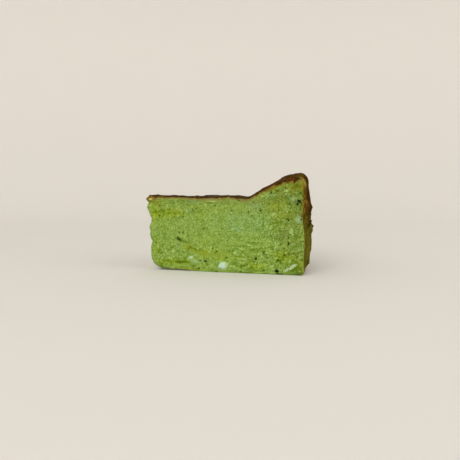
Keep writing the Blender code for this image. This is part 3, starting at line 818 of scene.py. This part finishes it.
def makeCake():
    # The grid of the block's six sides through slicePoints, plus marks and relief along the
    # way that each cut faces, with what its material reads kept as values of its points
    cellsAlong, cellsAcross, cellsUp = cake["cells"]
    shape = tuple(count + 1 for count in cake["cells"])
    names, used, faces, owners = surfaceSides(cake["cells"])
    i, j, k = np.unravel_index(used, shape)
    along, up = crowded(cellsAlong)[i], crowded(cellsUp)[k]
    across = np.linspace(0.0, 1.0, cellsAcross + 1)[j]
    degrees = across * wedge["angle"]
    points, (topDepth, wallDepth), turn = slicePoints(along, across, up, True)

    # Relief of the two cuts and the tip, pushed straight out of them
    onCut = ((j == 0) | (j == cellsAcross) | (i == 0)).astype(float)
    isFar = (across > 0.5).astype(float)
    r, z = np.hypot(points[:, 0], points[:, 1]), points[:, 2].copy()
    skinDepth = np.minimum(topDepth, wallDepth)
    fade = softStep(skinDepth / relief["cutEdgeFade"] + relief["cutEdgeShare"])
    fade = fade * softStep(z / relief["cutFootFade"]) * onCut
    ragged = sum(share * latticeNoise(points, size, cake["seed"] + number)
                 for number, (size, share) in enumerate(cake["waves"]))
    near, far, top, wall = allMarks()
    turned = np.radians(degrees)
    onTop = ((k == cellsUp) & (onCut == 0)).astype(float)
    onWall = ((i == cellsAlong) & (onCut + onTop == 0)).astype(float)
    sides = ((near, r, z, onCut * (1.0 - isFar)), (far, r, z, onCut * isFar),
             (top, r, r * turned, onTop), (wall, wedge["wallRadius"] * turned, z, onWall))
    bumps, stainsAndPaintedLight = layMarks(sides, ragged)
    tint = broadTints(r, z, isFar, ragged)
    points[:, 2] = np.maximum(points[:, 2] + bumps * onTop, 0.0)
    bumps = (bumps + curdRelief(r, z, isFar, points)) * fade
    points[:, 0] += bumps * np.cos(turn)
    points[:, 1] += bumps * np.sin(turn)
    stainsAndPaintedLight[:, 3] *= np.where(onCut > 0, softStep(skinDepth / cake["stainEdge"]), 1.0)

    mesh = bpy.data.meshes.new(cake["name"])
    mesh.from_pydata(((points + shift) * mm).tolist(), [], faces.tolist())
    # 0 on the skin, 1 where its dark line ends, then on into the crumb
    topLine = smoothLine(skinLine["topDepth"], r)
    wallLine = smoothLine(skinLine["wallDepth"], z)
    browning = np.minimum(topDepth / topLine, wallDepth / wallLine)
    # 0 where the dark line ends, 1 where the browned crumb under it ends
    toasting = np.minimum((topDepth - topLine) / smoothLine(skinLine["topUnder"], r),
                          (wallDepth - wallLine) / skinLine["wallUnder"])
    fromCut = np.minimum(degrees, 2.0 * (wedge["angle"] - degrees))
    outside = softStep((r - wear["start"]) / wear["fade"])
    rimStart, rimGrowth = skinLine["rimStart"]
    rimFoot, rimRise = skinLine["rimHeight"]
    low = skinLine["rimLow"]
    upRim = low + (1.0 - low) * softStep((z - rimFoot) / rimRise)
    atWall = 1.0 - softStep(wallDepth / skinLine["wallReach"])
    values = dict(
        browning=np.where(onCut > 0, browning, 0.0),
        toasting=toasting,
        wallShare=np.where(i == cellsAlong, 1.0, atWall),
        baseShare=((k == 0) & (onCut == 0)).astype(float),
        rimShare=softStep((r - rimStart) / rimGrowth) * upRim,
        dragShare=dragShare(r, z, isFar),
        openShare=smoothLine(cake["openness"], r),
        wornShare=outside * (1.0 - softStep(fromCut / smoothLine(wear["reach"], z))),
        crag=np.where(i == cellsAlong, wallRelief(degrees, up), topRelief(r, degrees)),
        heightShare=z / wedge["wallHeight"],
    )
    for name, value in values.items():
        addValues(mesh, name, "FLOAT", "value", value.astype(np.float32))
    addValues(mesh, "stainsAndPaintedLight", "FLOAT_COLOR", "color", stainsAndPaintedLight.astype(np.float32).ravel())
    tint = np.column_stack([tint, np.ones(len(tint))]).astype(np.float32)
    addValues(mesh, "tint", "FLOAT_COLOR", "color", tint.ravel())
    cutPlace = dragPlace(r, z, isFar).astype(np.float32) * mm
    addValues(mesh, "cutPlace", "FLOAT_VECTOR", "vector", cutPlace.ravel())
    layOut(mesh, names, owners, along, across, up)
    flattenBase(mesh, (points[faces, 2] <= 0.0).all(axis=1))
    return mesh


def finishMesh(mesh, name, material, sharpDegrees=50.0):
    mesh.materials.append(material)
    mesh.shade_smooth()
    mesh.set_sharp_from_angle(angle=math.radians(sharpDegrees))
    piece = bpy.data.objects.new(name, mesh)
    bpy.context.scene.collection.objects.link(piece)
    return piece


def addNode(tree, kind, inputs=None, out=0, **settings):
    # One node: its settings by name, and for each input a value, a hex colour or a link
    node = tree.nodes.new("ShaderNode" + kind)
    for name, value in settings.items():
        setattr(node, name, value)
    for socket, value in (inputs or {}).items():
        if isinstance(value, bpy.types.NodeSocket):
            tree.links.new(value, node.inputs[socket])
        else:
            colour = linearColour(value) if isinstance(value, str) else value
            node.inputs[socket].default_value = colour
    return node.outputs[out]


# Settings that many nodes share: a mix of two colours, and a mask with a soft edge
mixColours = dict(out=2, data_type="RGBA")
softEdge = dict(interpolation_type="SMOOTHSTEP")


def newMaterial(name):
    material = bpy.data.materials.new(name)
    material.use_nodes = True
    tree = material.node_tree
    return material, tree, tree.nodes["Principled BSDF"]


def addLayers(tree, place, under, layers):
    # Colours laid over one another, each where its own noise pattern is strong:
    # pattern size in mm, noise where it starts and where it is full, colour, seed
    for size, low, high, colour, seed in layers:
        pattern = addNode(tree, "TexNoise", {"Vector": place, "W": seed, "Scale": 1.0 / (size * mm),
                                             "Detail": cakeLook["layerDetail"],
                                             "Roughness": cakeLook["layerRoughness"]},
                          noise_dimensions="4D")
        mask = addNode(tree, "MapRange", {"Value": pattern, "From Min": low, "From Max": high},
                       **softEdge)
        under = addNode(tree, "Mix", {0: mask, 6: under, 7: colour}, **mixColours)
    return under


# Baked matcha cream cheese. Its crumb is moist, dull and finely curded, its top a thin
# leathery skin browned nearly black, its wall browned above and greener below, where
# paper shielded it
cakeLook = dict(
    crumb="#86a247",
    crumbLayers=((14.0, 0.42, 0.62, "#86a24c", 1.0), (7.0, 0.48, 0.68, "#8aa036", 2.0),
                 (2.8, 0.50, 0.68, "#76952f", 3.0), (1.6, 0.50, 0.66, "#93b054", 4.0),
                 (1.0, 0.50, 0.64, "#6c8c2c", 5.0), (0.75, 0.52, 0.66, "#a4c066", 6.0),
                 (0.55, 0.53, 0.66, "#567213", 7.0), (0.42, 0.57, 0.72, "#bcd674", 8.0)),
    openLayers=((0.8, 0.50, 0.59, "#58761e", 17.0), (0.6, 0.54, 0.64, "#a9c872", 18.0)),
    dragLayers=((1.1, 0.50, 0.64, "#98b34e", 9.0), (1.1, 0.51, 0.65, "#678524", 10.0)),
    topSkin="#3e2810", rimSkin="#33240a",
    topLayers=((11.0, 0.44, 0.60, "#573a14", 11.0), (6.0, 0.50, 0.64, "#25150a", 12.0),
               (3.0, 0.54, 0.70, "#6e4c1a", 13.0), (1.4, 0.54, 0.70, "#1b0e06", 14.0),
               (0.8, 0.58, 0.74, "#80602a", 15.0)),
    wallStretch=0.7,               # the wall's patches are longer round it than up it
    wallLow="#575714",
    lowLayers=((7.0, 0.46, 0.62, "#6d6a20", 21.0), (3.0, 0.50, 0.66, "#46400e", 22.0),
               (1.6, 0.54, 0.72, "#7e7c30", 23.0), (0.9, 0.55, 0.72, "#352e08", 24.0)),
    wallHigh="#3e2b0a",
    highLayers=((7.0, 0.46, 0.62, "#644a14", 21.0), (3.0, 0.50, 0.66, "#32200a", 22.0),
                (1.6, 0.55, 0.74, "#7c5f2a", 23.0), (0.9, 0.53, 0.68, "#201202", 24.0)),
    wallTurn=(0.44, 0.64),         # shares of the height where the low look gives way
    # the waves in that border: size in mm, detail, depth
    wallPatch=8.0, wallDetail=3.0, wallUneven=0.5,
    # the wall's crests: colour, relief in mm where it starts and is full, its full share
    crest="#2c1a06", crestFrom=0.15, crestTo=0.7, crestShare=0.65,
    # where the skin is worn off: the share of the height up to which each colour goes
    worn=((0.36, "#636818"), (0.60, "#735a18"), (0.80, "#6c4c10"), (0.97, "#8d822e")),
    wornLayers=((1.4, 0.50, 0.66, "#46310a", 51.0), (0.8, 0.55, 0.70, "#a08a48", 52.0)),
    baseSkin="#7b7a38",
    baseLayers=((8.0, 0.46, 0.64, "#6d6c2c", 31.0), (2.0, 0.54, 0.74, "#8b8a4a", 32.0),
                (1.0, 0.58, 0.76, "#5e5a22", 33.0)),
    flatLine="#3a2a08", flatUnder="#86733a",
    rimLine="#53340f", rimUnder="#77681a",
    lineLayers=((1.8, 0.48, 0.62, "#2e2004", 41.0), (1.0, 0.54, 0.68, "#6e522a", 42.0),
                (0.7, 0.56, 0.70, "#241602", 43.0)),
    # where the dark line and the browned crumb under it fade out, as shares of their depth
    lineSoft=(0.85, 1.15), underSoft=(0.2, 1.0),
    # waves in both edges: size in mm, the noise they use, smallest and largest factor
    edgeWaves=1.1, edgeNoise=(0.3, 0.7), edgeFactors=(0.7, 1.35),
    layerDetail=3.0, layerRoughness=0.6,
    dragStretch=0.14,              # the knife's streaks are about seven times as long as wide
    wornBlend=0.14,                # share of the height over which the worn colours blend
    cutFrom=0.3,                   # share of the dark line's depth where the cut's look is full
    roughness=0.66, skinRoughness=0.60,
    subsurface=0.10, scatter=(1.0, 1.0, 0.35),
    grainMm=0.55, grainDetail=4.0, grainRoughness=0.65, bumpMm=0.22,
    skinSpecular=0.0, crumbSpecular=0.08,
    topCoat=0.30, topCoatLeast=0.1, topCoatRoughness=0.34,
    # glossy patches: size in mm, detail, the noise where they start and where they are full
    glossPatch=7.0, glossDetail=2.0, glossNoise=(0.38, 0.62),
)


def cakeMaterial():
    look = cakeLook
    material, tree, shader = newMaterial("baked_matcha_cream_cheese")
    place = addNode(tree, "TexCoord", out="Object")
    marks = {name: addNode(tree, "Attribute", out="Fac", attribute_name=name)
             for name in ("browning", "toasting", "wallShare", "baseShare", "rimShare",
                          "heightShare", "dragShare", "openShare", "wornShare", "crag")}

    # Crumb, with streaks that the knife drew out, tinted broadly; the tints include painted shade
    # along the base
    crumb = addLayers(tree, place, look["crumb"], look["crumbLayers"])
    cutPlace = addNode(tree, "Attribute", out="Vector", attribute_name="cutPlace")
    drawnOut = addNode(tree, "Mapping", {"Vector": cutPlace,
                                         "Scale": (look["dragStretch"], 1.0, 1.0)})
    streaked = addLayers(tree, drawnOut, crumb, look["dragLayers"])
    crumb = addNode(tree, "Mix", {0: marks["dragShare"], 6: crumb, 7: streaked}, **mixColours)
    opened = addLayers(tree, place, crumb, look["openLayers"])
    crumb = addNode(tree, "Mix", {0: marks["openShare"], 6: crumb, 7: opened}, **mixColours)
    tint = addNode(tree, "Attribute", out="Color", attribute_name="tint")
    crumb = addNode(tree, "Mix", {0: 1.0, 6: crumb, 7: tint}, blend_type="MULTIPLY", **mixColours)

    # Under the skin: its own dark line, then tan or amber, with a ragged edge
    (least, most), (lowest, highest) = look["edgeNoise"], look["edgeFactors"]
    wobble = addNode(tree, "TexNoise", {"Vector": place, "Scale": 1.0 / (look["edgeWaves"] * mm),
                                        "Detail": look["grainDetail"],
                                        "Roughness": look["grainRoughness"]})
    wobble = addNode(tree, "MapRange", {"Value": wobble, "From Min": least, "From Max": most,
                                        "To Min": lowest, "To Max": highest})
    line = addNode(tree, "Mix", {0: marks["rimShare"], 6: look["flatLine"], 7: look["rimLine"]},
                   **mixColours)
    line = addLayers(tree, place, line, look["lineLayers"])
    under = addNode(tree, "Mix", {0: marks["rimShare"], 6: look["flatUnder"], 7: look["rimUnder"]},
                    **mixColours)
    for depth, colour, soft in (("toasting", under, "underSoft"), ("browning", line, "lineSoft")):
        ragged = addNode(tree, "Math", {0: marks[depth], 1: wobble}, operation="MULTIPLY")
        low, high = look[soft]
        mask = addNode(tree, "MapRange", {"Value": ragged, "From Min": low, "From Max": high},
                       **softEdge)
        crumb = addNode(tree, "Mix", {0: mask, 6: colour, 7: crumb}, **mixColours)

    # Skin of top, wall and base; the wall's crests are darker, and its skin is worn off
    # beside the cuts
    skin = addNode(tree, "Mix", {0: marks["rimShare"], 6: look["topSkin"], 7: look["rimSkin"]},
                   **mixColours)
    skin = addLayers(tree, place, skin, look["topLayers"])
    wallPlace = addNode(tree, "Mapping", {"Vector": place,
                                          "Scale": (1.0, look["wallStretch"], 1.0)})
    wall = addLayers(tree, wallPlace, look["wallLow"], look["lowLayers"])
    wallHigh = addLayers(tree, wallPlace, look["wallHigh"], look["highLayers"])
    patchy = addNode(tree, "TexNoise", {"Vector": place, "Scale": 1.0 / (look["wallPatch"] * mm),
                                        "Detail": look["wallDetail"]})
    patchy = addNode(tree, "MapRange", {"Value": patchy, "To Min": -look["wallUneven"],
                                        "To Max": look["wallUneven"]})
    height = addNode(tree, "Math", {0: marks["heightShare"], 1: patchy}, operation="ADD")
    low, high = look["wallTurn"]
    brownUp = addNode(tree, "MapRange", {"Value": height, "From Min": low, "From Max": high},
                      **softEdge)
    wall = addNode(tree, "Mix", {0: brownUp, 6: wall, 7: wallHigh}, **mixColours)
    crest = addNode(tree, "MapRange", {"Value": marks["crag"], "From Min": look["crestFrom"],
                                       "From Max": look["crestTo"], "To Max": look["crestShare"]})
    wall = addNode(tree, "Mix", {0: crest, 6: wall, 7: look["crest"]}, **mixColours)
    (_, worn), *above = look["worn"]
    for start, colour in above:
        rise = addNode(tree, "MapRange", {"Value": height, "From Min": start - look["wornBlend"],
                                          "From Max": start})
        worn = addNode(tree, "Mix", {0: rise, 6: worn, 7: colour}, **mixColours)
    worn = addLayers(tree, place, worn, look["wornLayers"])
    wearing = addNode(tree, "Math", {0: marks["wornShare"], 1: wobble}, operation="MULTIPLY",
                      use_clamp=True)
    base = addLayers(tree, place, look["baseSkin"], look["baseLayers"])
    for share, colour in ((marks["wallShare"], wall), (wearing, worn), (marks["baseShare"], base)):
        skin = addNode(tree, "Mix", {0: share, 6: skin, 7: colour}, **mixColours)
    onCut = addNode(tree, "MapRange", {"Value": marks["browning"], "From Max": look["cutFrom"]})
    colour = addNode(tree, "Mix", {0: onCut, 6: skin, 7: crumb}, **mixColours)
    # Marks over all: stains of crumb and skin, with painted shade in holes, crevices and on a band
    # of the wall, a painted highlight on the tip's lump and painted light on the wall beside the
    # near cut
    stainsAndPaintedLight = addNode(tree, "Attribute", out="Color", attribute_name="stainsAndPaintedLight")
    cover = addNode(tree, "Attribute", out="Alpha", attribute_name="stainsAndPaintedLight")
    colour = addNode(tree, "Mix", {0: cover, 6: colour, 7: stainsAndPaintedLight}, **mixColours)
    tree.links.new(colour, shader.inputs["Base Color"])

    # Dull crumb, wall and rim, a top that is glossy in patches, and a fine grain on all
    gloss = addNode(tree, "TexNoise", {"Vector": place, "Scale": 1.0 / (look["glossPatch"] * mm),
                                       "Detail": look["glossDetail"]})
    low, high = look["glossNoise"]
    coat = addNode(tree, "MapRange", {"Value": gloss, "From Min": low, "From Max": high,
                                      "To Min": look["topCoatLeast"] * look["topCoat"],
                                      "To Max": look["topCoat"]})
    for share in (marks["wallShare"], onCut, marks["rimShare"]):
        rest = addNode(tree, "Math", {0: 1.0, 1: share}, operation="SUBTRACT", use_clamp=True)
        coat = addNode(tree, "Math", {0: coat, 1: rest}, operation="MULTIPLY")
    tree.links.new(coat, shader.inputs["Coat Weight"])
    shader.inputs["Coat Roughness"].default_value = look["topCoatRoughness"]
    for socket, onSkin, onCrumb in (("Roughness", "skinRoughness", "roughness"),
                                    ("Specular IOR Level", "skinSpecular", "crumbSpecular")):
        level = addNode(tree, "MapRange", {"Value": marks["browning"], "To Min": look[onSkin],
                                           "To Max": look[onCrumb]})
        tree.links.new(level, shader.inputs[socket])
    shader.inputs["Subsurface Weight"].default_value = look["subsurface"]
    shader.inputs["Subsurface Radius"].default_value = look["scatter"]
    shader.inputs["Subsurface Scale"].default_value = mm
    grain = addNode(tree, "TexNoise", {"Vector": place, "Scale": 1.0 / (look["grainMm"] * mm),
                                       "Detail": look["grainDetail"],
                                       "Roughness": look["grainRoughness"]})
    bump = addNode(tree, "Bump", {"Height": grain, "Strength": 1.0,
                                  "Distance": look["bumpMm"] * mm})
    tree.links.new(bump, shader.inputs["Normal"])
    return material


cakeMesh = makeCake()
slicePiece = finishMesh(cakeMesh, cake["name"], cakeMaterial())
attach(slicePiece, "root")
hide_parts(cakeNode)
triangles = sum(len(face.vertices) - 2 for face in cakeMesh.polygons)
print("cake:", len(cakeMesh.polygons), "faces,", triangles, "triangles")


# Crumbs, flakes of skin and flecks that cling to the slice; the near-black discs over its holes are
# painted shade
crumbs = dict(
    name="crumbs_and_hole_shade",
    rings=4, turns=9,              # of each crumb's grid
    # height of a crumb's lumps and their size, as shares of its half size, and how far apart
    # the crumbs lie in the noise that makes them
    lumpiness=0.4, lumpSize=0.9, lumpShift=7.3,
    slimmest=0.5,                  # least width as a share of the length
    # how many, along the radius, degrees from the near cut, share of the way up, half size in
    # mm from and to, share of that size it stands out, kinds
    groups=((80, (0.02, 0.97), (0.0, 0.4), (1.0, 1.0), (0.12, 0.32), 0.6, "skin"),
            (40, (0.70, 0.99), (0.0, 0.8), (1.0, 1.0), (0.15, 0.45), 0.6, "skin"),
            (60, (0.74, 1.0), (6.0, 15.0), (1.0, 1.0), (0.15, 0.42), 0.7, "skin"),
            (70, (0.02, 0.97), (44.5, 45.0), (1.0, 1.0), (0.12, 0.4), 0.6, "skin"),
            (30, (0.1, 0.98), (1.0, 44.0), (1.0, 1.0), (0.15, 0.5), 0.4, "skin"),
            (50, (1.0, 1.0), (0.0, 2.0), (0.45, 0.9), (0.15, 0.4), 0.5, "skin"),
            (90, (1.0, 1.0), (2.0, 45.0), (0.45, 0.93), (0.15, 0.55), 0.45, "skin"),
            (80, (1.0, 1.0), (0.0, 45.0), (0.05, 0.5), (0.15, 0.5), 0.45, "mossy"),
            (40, (0.0, 0.0), (0.0, 45.0), (0.1, 0.95), (0.15, 0.4), 0.5, "green"),
            (60, (0.1, 0.98), (0.0, 0.0), (0.03, 0.3), (0.12, 0.3), 0.5, "green"),
            (80, (0.1, 0.98), (45.0, 45.0), (0.03, 0.9), (0.12, 0.35), 0.5, "green")),
    tones=dict(skin=("#3c2a0c", "#54400f", "#6c561e", "#2c1e08"),
               mossy=("#5a5a16", "#68641f", "#46420f", "#706c2a"),
               green=("#7f9c3c", "#98b254", "#6a8a28", "#b0c878")),
    # flakes of skin on the wall: degrees, share of the way up, half length, half width and
    # half thickness in mm, tilt, colour
    flakes=((13.0, 0.82, 0.8, 0.5, 0.8, 0, "#2e2006"), (13.0, 0.655, 0.8, 0.6, 0.6, 20, "#3a2a0c"),
            (13.2, 0.58, 0.5, 0.5, 0.6, 0, "#4a3410"), (13.0, 0.46, 1.0, 0.6, 0.9, 25, "#3c2c0a"),
            (13.0, 0.41, 1.2, 0.5, 0.9, -20, "#4a3a0e"), (13.0, 0.06, 0.7, 0.5, 0.6, 0, "#4a4212"),
            (8.0, 0.52, 1.3, 0.5, 0.7, 15, "#2e2206"), (5.0, 0.62, 1.1, 0.4, 0.5, -20, "#6b5424")),
    # marks up to fleckSize in half length and from fleckLowest up, mm, are laid on as flecks
    fleckSize=1.1, fleckLowest=1.0, fleckRise=0.05,
    # share of a mark's size that its fleck has, and the fleck's colour
    # The near-black flecks over holes are painted shade inside them
    flecks=dict(hole=(1.1, "#0e1602"), speck=(0.9, "#3a5400"), dent=(0.75, "#648208"),
                pale=(0.7, "#a4c06c"), char=(0.8, "#1c0c02"), rust=(0.8, "#5a3408")),
    seed=19,
)


def crumbPlaces():
    # For every crumb its place, half sizes, tilt and colour; a fleck's place is given by its
    # height in mm, a crumb's by its share of the way up; returns which are flecks, too
    draw = np.random.default_rng(crumbs["seed"])
    rows = []
    for count, alongRange, degreesRange, upRange, sizes, rise, kind in crumbs["groups"]:
        along, degrees, up = (draw.uniform(*span, count)
                              for span in (alongRange, degreesRange, upRange))
        size = sizes[0] + (sizes[1] - sizes[0]) * draw.random(count) ** 2
        slim, tilt = draw.uniform(crumbs["slimmest"], 1.0, count), draw.uniform(0.0, 180.0, count)
        tones = draw.choice(crumbs["tones"][kind], count)
        rows += zip(along, degrees, up, size, size * slim, size * rise, tilt, tones)
    rows += [(1.0, *flake) for flake in crumbs["flakes"]]
    crumbCount = len(rows)
    near, far, *_ = allMarks()
    for marks, degrees in ((near, 0.0), (far, wedge["angle"])):
        for kind, r, z, halfLength, halfWidth, tilt in marks:
            isSmall = halfLength <= crumbs["fleckSize"] and z >= crumbs["fleckLowest"]
            if isSmall and kind in crumbs["flecks"]:
                share, tone = crumbs["flecks"][kind]
                rows.append((r / wedge["wallRadius"], degrees, z, share * halfLength,
                             share * halfWidth, crumbs["fleckRise"],
                             tilt if degrees == 0.0 else -tilt, tone))
    return rows, np.arange(len(rows)) >= crumbCount


def makeCrumbs(cakeTree):
    # Each crumb is a ball's grid, (cos turn sin lean, sin turn sin lean, cos lean), times its
    # half sizes and 1 + noise, set down on the nearest point of the cake, its length along
    # the way out from the tip, or upwards where that way stands off the surface
    rows, isFleck = crumbPlaces()
    along, degrees, up, length, width, rise, tilt = np.array([row[:7] for row in rows], float).T
    half = math.radians(wedge["angle"]) / 2.0
    angle = np.radians(degrees) - half
    outward = np.stack([np.cos(angle), np.sin(angle), 0.0 * angle], axis=-1)
    targets = slicePoints(along, degrees / wedge["angle"], np.where(isFleck, 0.5, up), True)[0]
    upward = np.array([0.0, 0.0, 1.0])
    onCut = outward * (along * wedge["wallRadius"])[:, None] + upward * up[:, None]
    targets = np.where(isFleck[:, None], onCut, targets) + shift
    found = [cakeTree.find_nearest(target * mm) for target in targets]
    seats = np.array([hit[0] for hit in found]) / mm
    normals = np.array([hit[1] for hit in found])
    lengthWay = outward - normals * np.sum(outward * normals, axis=1)[:, None]
    upright = np.linalg.norm(lengthWay, axis=1) < 0.5
    lengthWay[upright] = upward - normals[upright] * normals[upright, 2:]
    lengthWay /= np.linalg.norm(lengthWay, axis=1)[:, None]
    widthWay = np.cross(normals, lengthWay)
    turned = np.radians(tilt) * np.where(widthWay[:, 2] < 0.0, -1.0, 1.0)
    cosine, sine = np.cos(turned)[:, None], np.sin(turned)[:, None]
    lengthWay, widthWay = lengthWay * cosine + widthWay * sine, widthWay * cosine - lengthWay * sine

    rings, turns = crumbs["rings"], crumbs["turns"]
    lean = np.pi * np.arange(1, rings) / rings
    turn = 2.0 * np.pi * np.arange(turns) / turns
    ball = np.stack([np.outer(np.sin(lean), np.cos(turn)), np.outer(np.sin(lean), np.sin(turn)),
                     np.repeat(np.cos(lean)[:, None], turns, axis=1)], axis=-1).reshape(-1, 3)
    ball = np.vstack([[0.0, 0.0, 1.0], ball, [0.0, 0.0, -1.0]])
    own = crumbs["lumpShift"] * np.arange(len(rows))[:, None, None]
    lumps = latticeNoise(ball[None] + own, crumbs["lumpSize"], crumbs["seed"])
    swell = 1.0 + crumbs["lumpiness"] * lumps
    local = ball[None] * swell[..., None] * np.stack([length, width, rise], axis=-1)[:, None]
    ways = np.stack([lengthWay, widthWay, normals], axis=1)
    points = seats[:, None] + local @ ways

    index = 1 + np.arange((rings - 1) * turns).reshape(rings - 1, turns)
    beside = np.roll(index, -1, axis=1)
    last = len(ball) - 1
    quads = np.stack([index[:-1], index[1:], beside[1:], beside[:-1]], axis=-1).reshape(-1, 4)
    caps = [np.stack([0 * index[0], index[0], beside[0]], axis=-1),
            np.stack([0 * index[0] + last, beside[-1], index[-1]], axis=-1)]
    starts = len(ball) * np.arange(len(rows))[:, None, None]
    faces = [part for block in (quads, *caps) for part in (block[None] + starts)
             .reshape(-1, block.shape[-1]).tolist()]
    mesh = bpy.data.meshes.new(crumbs["name"])
    mesh.from_pydata((points.reshape(-1, 3) * mm).tolist(), [], faces)
    tones = np.repeat([linearColour(row[7]) for row in rows], len(ball), axis=0)
    addValues(mesh, "tone", "FLOAT_COLOR", "color", tones.astype(np.float32).ravel())
    return mesh


# Dried matcha curd and shreds of its skin, with near-black discs of painted shade over holes: dull,
# each crumb in its own tone, with a fine grain that lightens and darkens it
crumbLook = dict(
    grainMm=0.4, grainDetail=3.0, grainNoise=(0.35, 0.65), shades=(0.7, 1.25),
    roughness=0.7, specular=0.06, bumpMm=0.15,
)


def crumbMaterial():
    look = crumbLook
    material, tree, shader = newMaterial("matcha_curd_and_hole_shade")
    place = addNode(tree, "TexCoord", out="Object")
    tone = addNode(tree, "Attribute", out="Color", attribute_name="tone")
    grain = addNode(tree, "TexNoise", {"Vector": place, "Scale": 1.0 / (look["grainMm"] * mm),
                                       "Detail": look["grainDetail"]})
    (low, high), (dark, light) = look["grainNoise"], look["shades"]
    shade = addNode(tree, "MapRange", {"Value": grain, "From Min": low, "From Max": high,
                                       "To Min": dark, "To Max": light})
    shaded = addNode(tree, "VectorMath", {0: tone, "Scale": shade}, operation="SCALE")
    tree.links.new(shaded, shader.inputs["Base Color"])
    shader.inputs["Roughness"].default_value = look["roughness"]
    shader.inputs["Specular IOR Level"].default_value = look["specular"]
    bump = addNode(tree, "Bump", {"Height": grain, "Distance": look["bumpMm"] * mm})
    tree.links.new(bump, shader.inputs["Normal"])
    return material


crumbMesh = makeCrumbs(BVHTree.FromObject(slicePiece, bpy.context.evaluated_depsgraph_get()))
crumbPiece = finishMesh(crumbMesh, crumbs["name"], crumbMaterial())
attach(crumbPiece, "root")
print("crumbs:", len(crumbMesh.polygons), "faces")


# A pale seamless stage: a round floor that sweeps up into a wall, in metres
stage = dict(
    innerRadius=0.001, floorRadius=0.55, sweep=0.35, wallTop=1.1,
    turns=96, bends=16,            # of its grid
    colour="#e3dfd8", roughness=0.9,
    # glow of its own, in full from glowTo metres away from the brightest spot
    glow=0.17, glowFrom=0.2, glowTo=0.9, brightest=(-0.1, -0.35, 0.0),
)


def makeStage():
    # Revolved profile: flat to floorRadius, a quarter circle, then straight up
    floor, sweep = stage["floorRadius"], stage["sweep"]
    bend = np.linspace(0.0, math.pi / 2.0, stage["bends"] + 1)
    reach = np.concatenate([[stage["innerRadius"]], floor + sweep * np.sin(bend), [floor + sweep]])
    rise = np.concatenate([[0.0], sweep * (1.0 - np.cos(bend)), [stage["wallTop"]]])
    turn = np.linspace(0.0, 2.0 * math.pi, stage["turns"], endpoint=False)
    points = np.stack([np.outer(reach, np.cos(turn)), np.outer(reach, np.sin(turn)),
                       np.repeat(rise[:, None], len(turn), axis=1)], axis=-1)
    index = np.arange(len(reach) * len(turn)).reshape(len(reach), len(turn))
    beside = np.roll(index, -1, axis=1)
    faces = np.stack([index[:-1], index[1:], beside[1:], beside[:-1]], axis=-1).reshape(-1, 4)
    mesh = bpy.data.meshes.new("pale_stage")
    mesh.from_pydata(points.reshape(-1, 3).tolist(), [], faces.tolist() + [index[0].tolist()])
    material, tree, shader = newMaterial("matte_painted_board")
    shader.inputs["Base Color"].default_value = linearColour(stage["colour"])
    shader.inputs["Roughness"].default_value = stage["roughness"]
    # It glows a little where the lamps don't reach, as a backdrop with a lamp of its own
    place = addNode(tree, "TexCoord", out="Object")
    away = addNode(tree, "VectorMath", {0: place, 1: stage["brightest"]}, out=1,
                   operation="DISTANCE")
    glow = addNode(tree, "MapRange", {"Value": away, "From Min": stage["glowFrom"],
                                      "From Max": stage["glowTo"], "To Max": stage["glow"]})
    shader.inputs["Emission Color"].default_value = linearColour(stage["colour"])
    tree.links.new(glow, shader.inputs["Emission Strength"])
    finishMesh(mesh, "pale_stage", material)


# Soft lights: name, place in metres, side of the square in metres, watts, colour
lights = (("front_soft", (-0.34, -0.66, 0.38), 0.6, 3.6, "#ffffff"),
          ("right_soft", (0.62, -0.34, 0.36), 0.5, 1.15, "#ffffff"),
          ("top_soft", (0.0, 0.15, 0.85), 0.8, 0.45, "#ffffff"))
aim = (0.0, 0.0, 0.02)             # metres, where they all point
room = dict(colour="#ffffff", strength=0.44)


def makeLights():
    for name, at, side, watts, colour in lights:
        data = bpy.data.lights.new(name, "AREA")
        data.size = side
        data.energy = watts
        data.color = linearColour(colour)[:3]
        holder = bpy.data.objects.new(name, data)
        holder.location = at
        way = Vector(aim) - Vector(at)
        holder.rotation_euler = way.to_track_quat("-Z", "Y").to_euler()
        bpy.context.scene.collection.objects.link(holder)
    world = bpy.data.worlds.new("soft_room")
    bpy.context.scene.world = world
    world.use_nodes = True
    background = world.node_tree.nodes["Background"]
    background.inputs["Color"].default_value = linearColour(room["colour"])
    background.inputs["Strength"].default_value = room["strength"]
    bpy.context.scene.view_settings.view_transform = "Standard"


makeStage()
makeLights()
print("stage and lights placed")
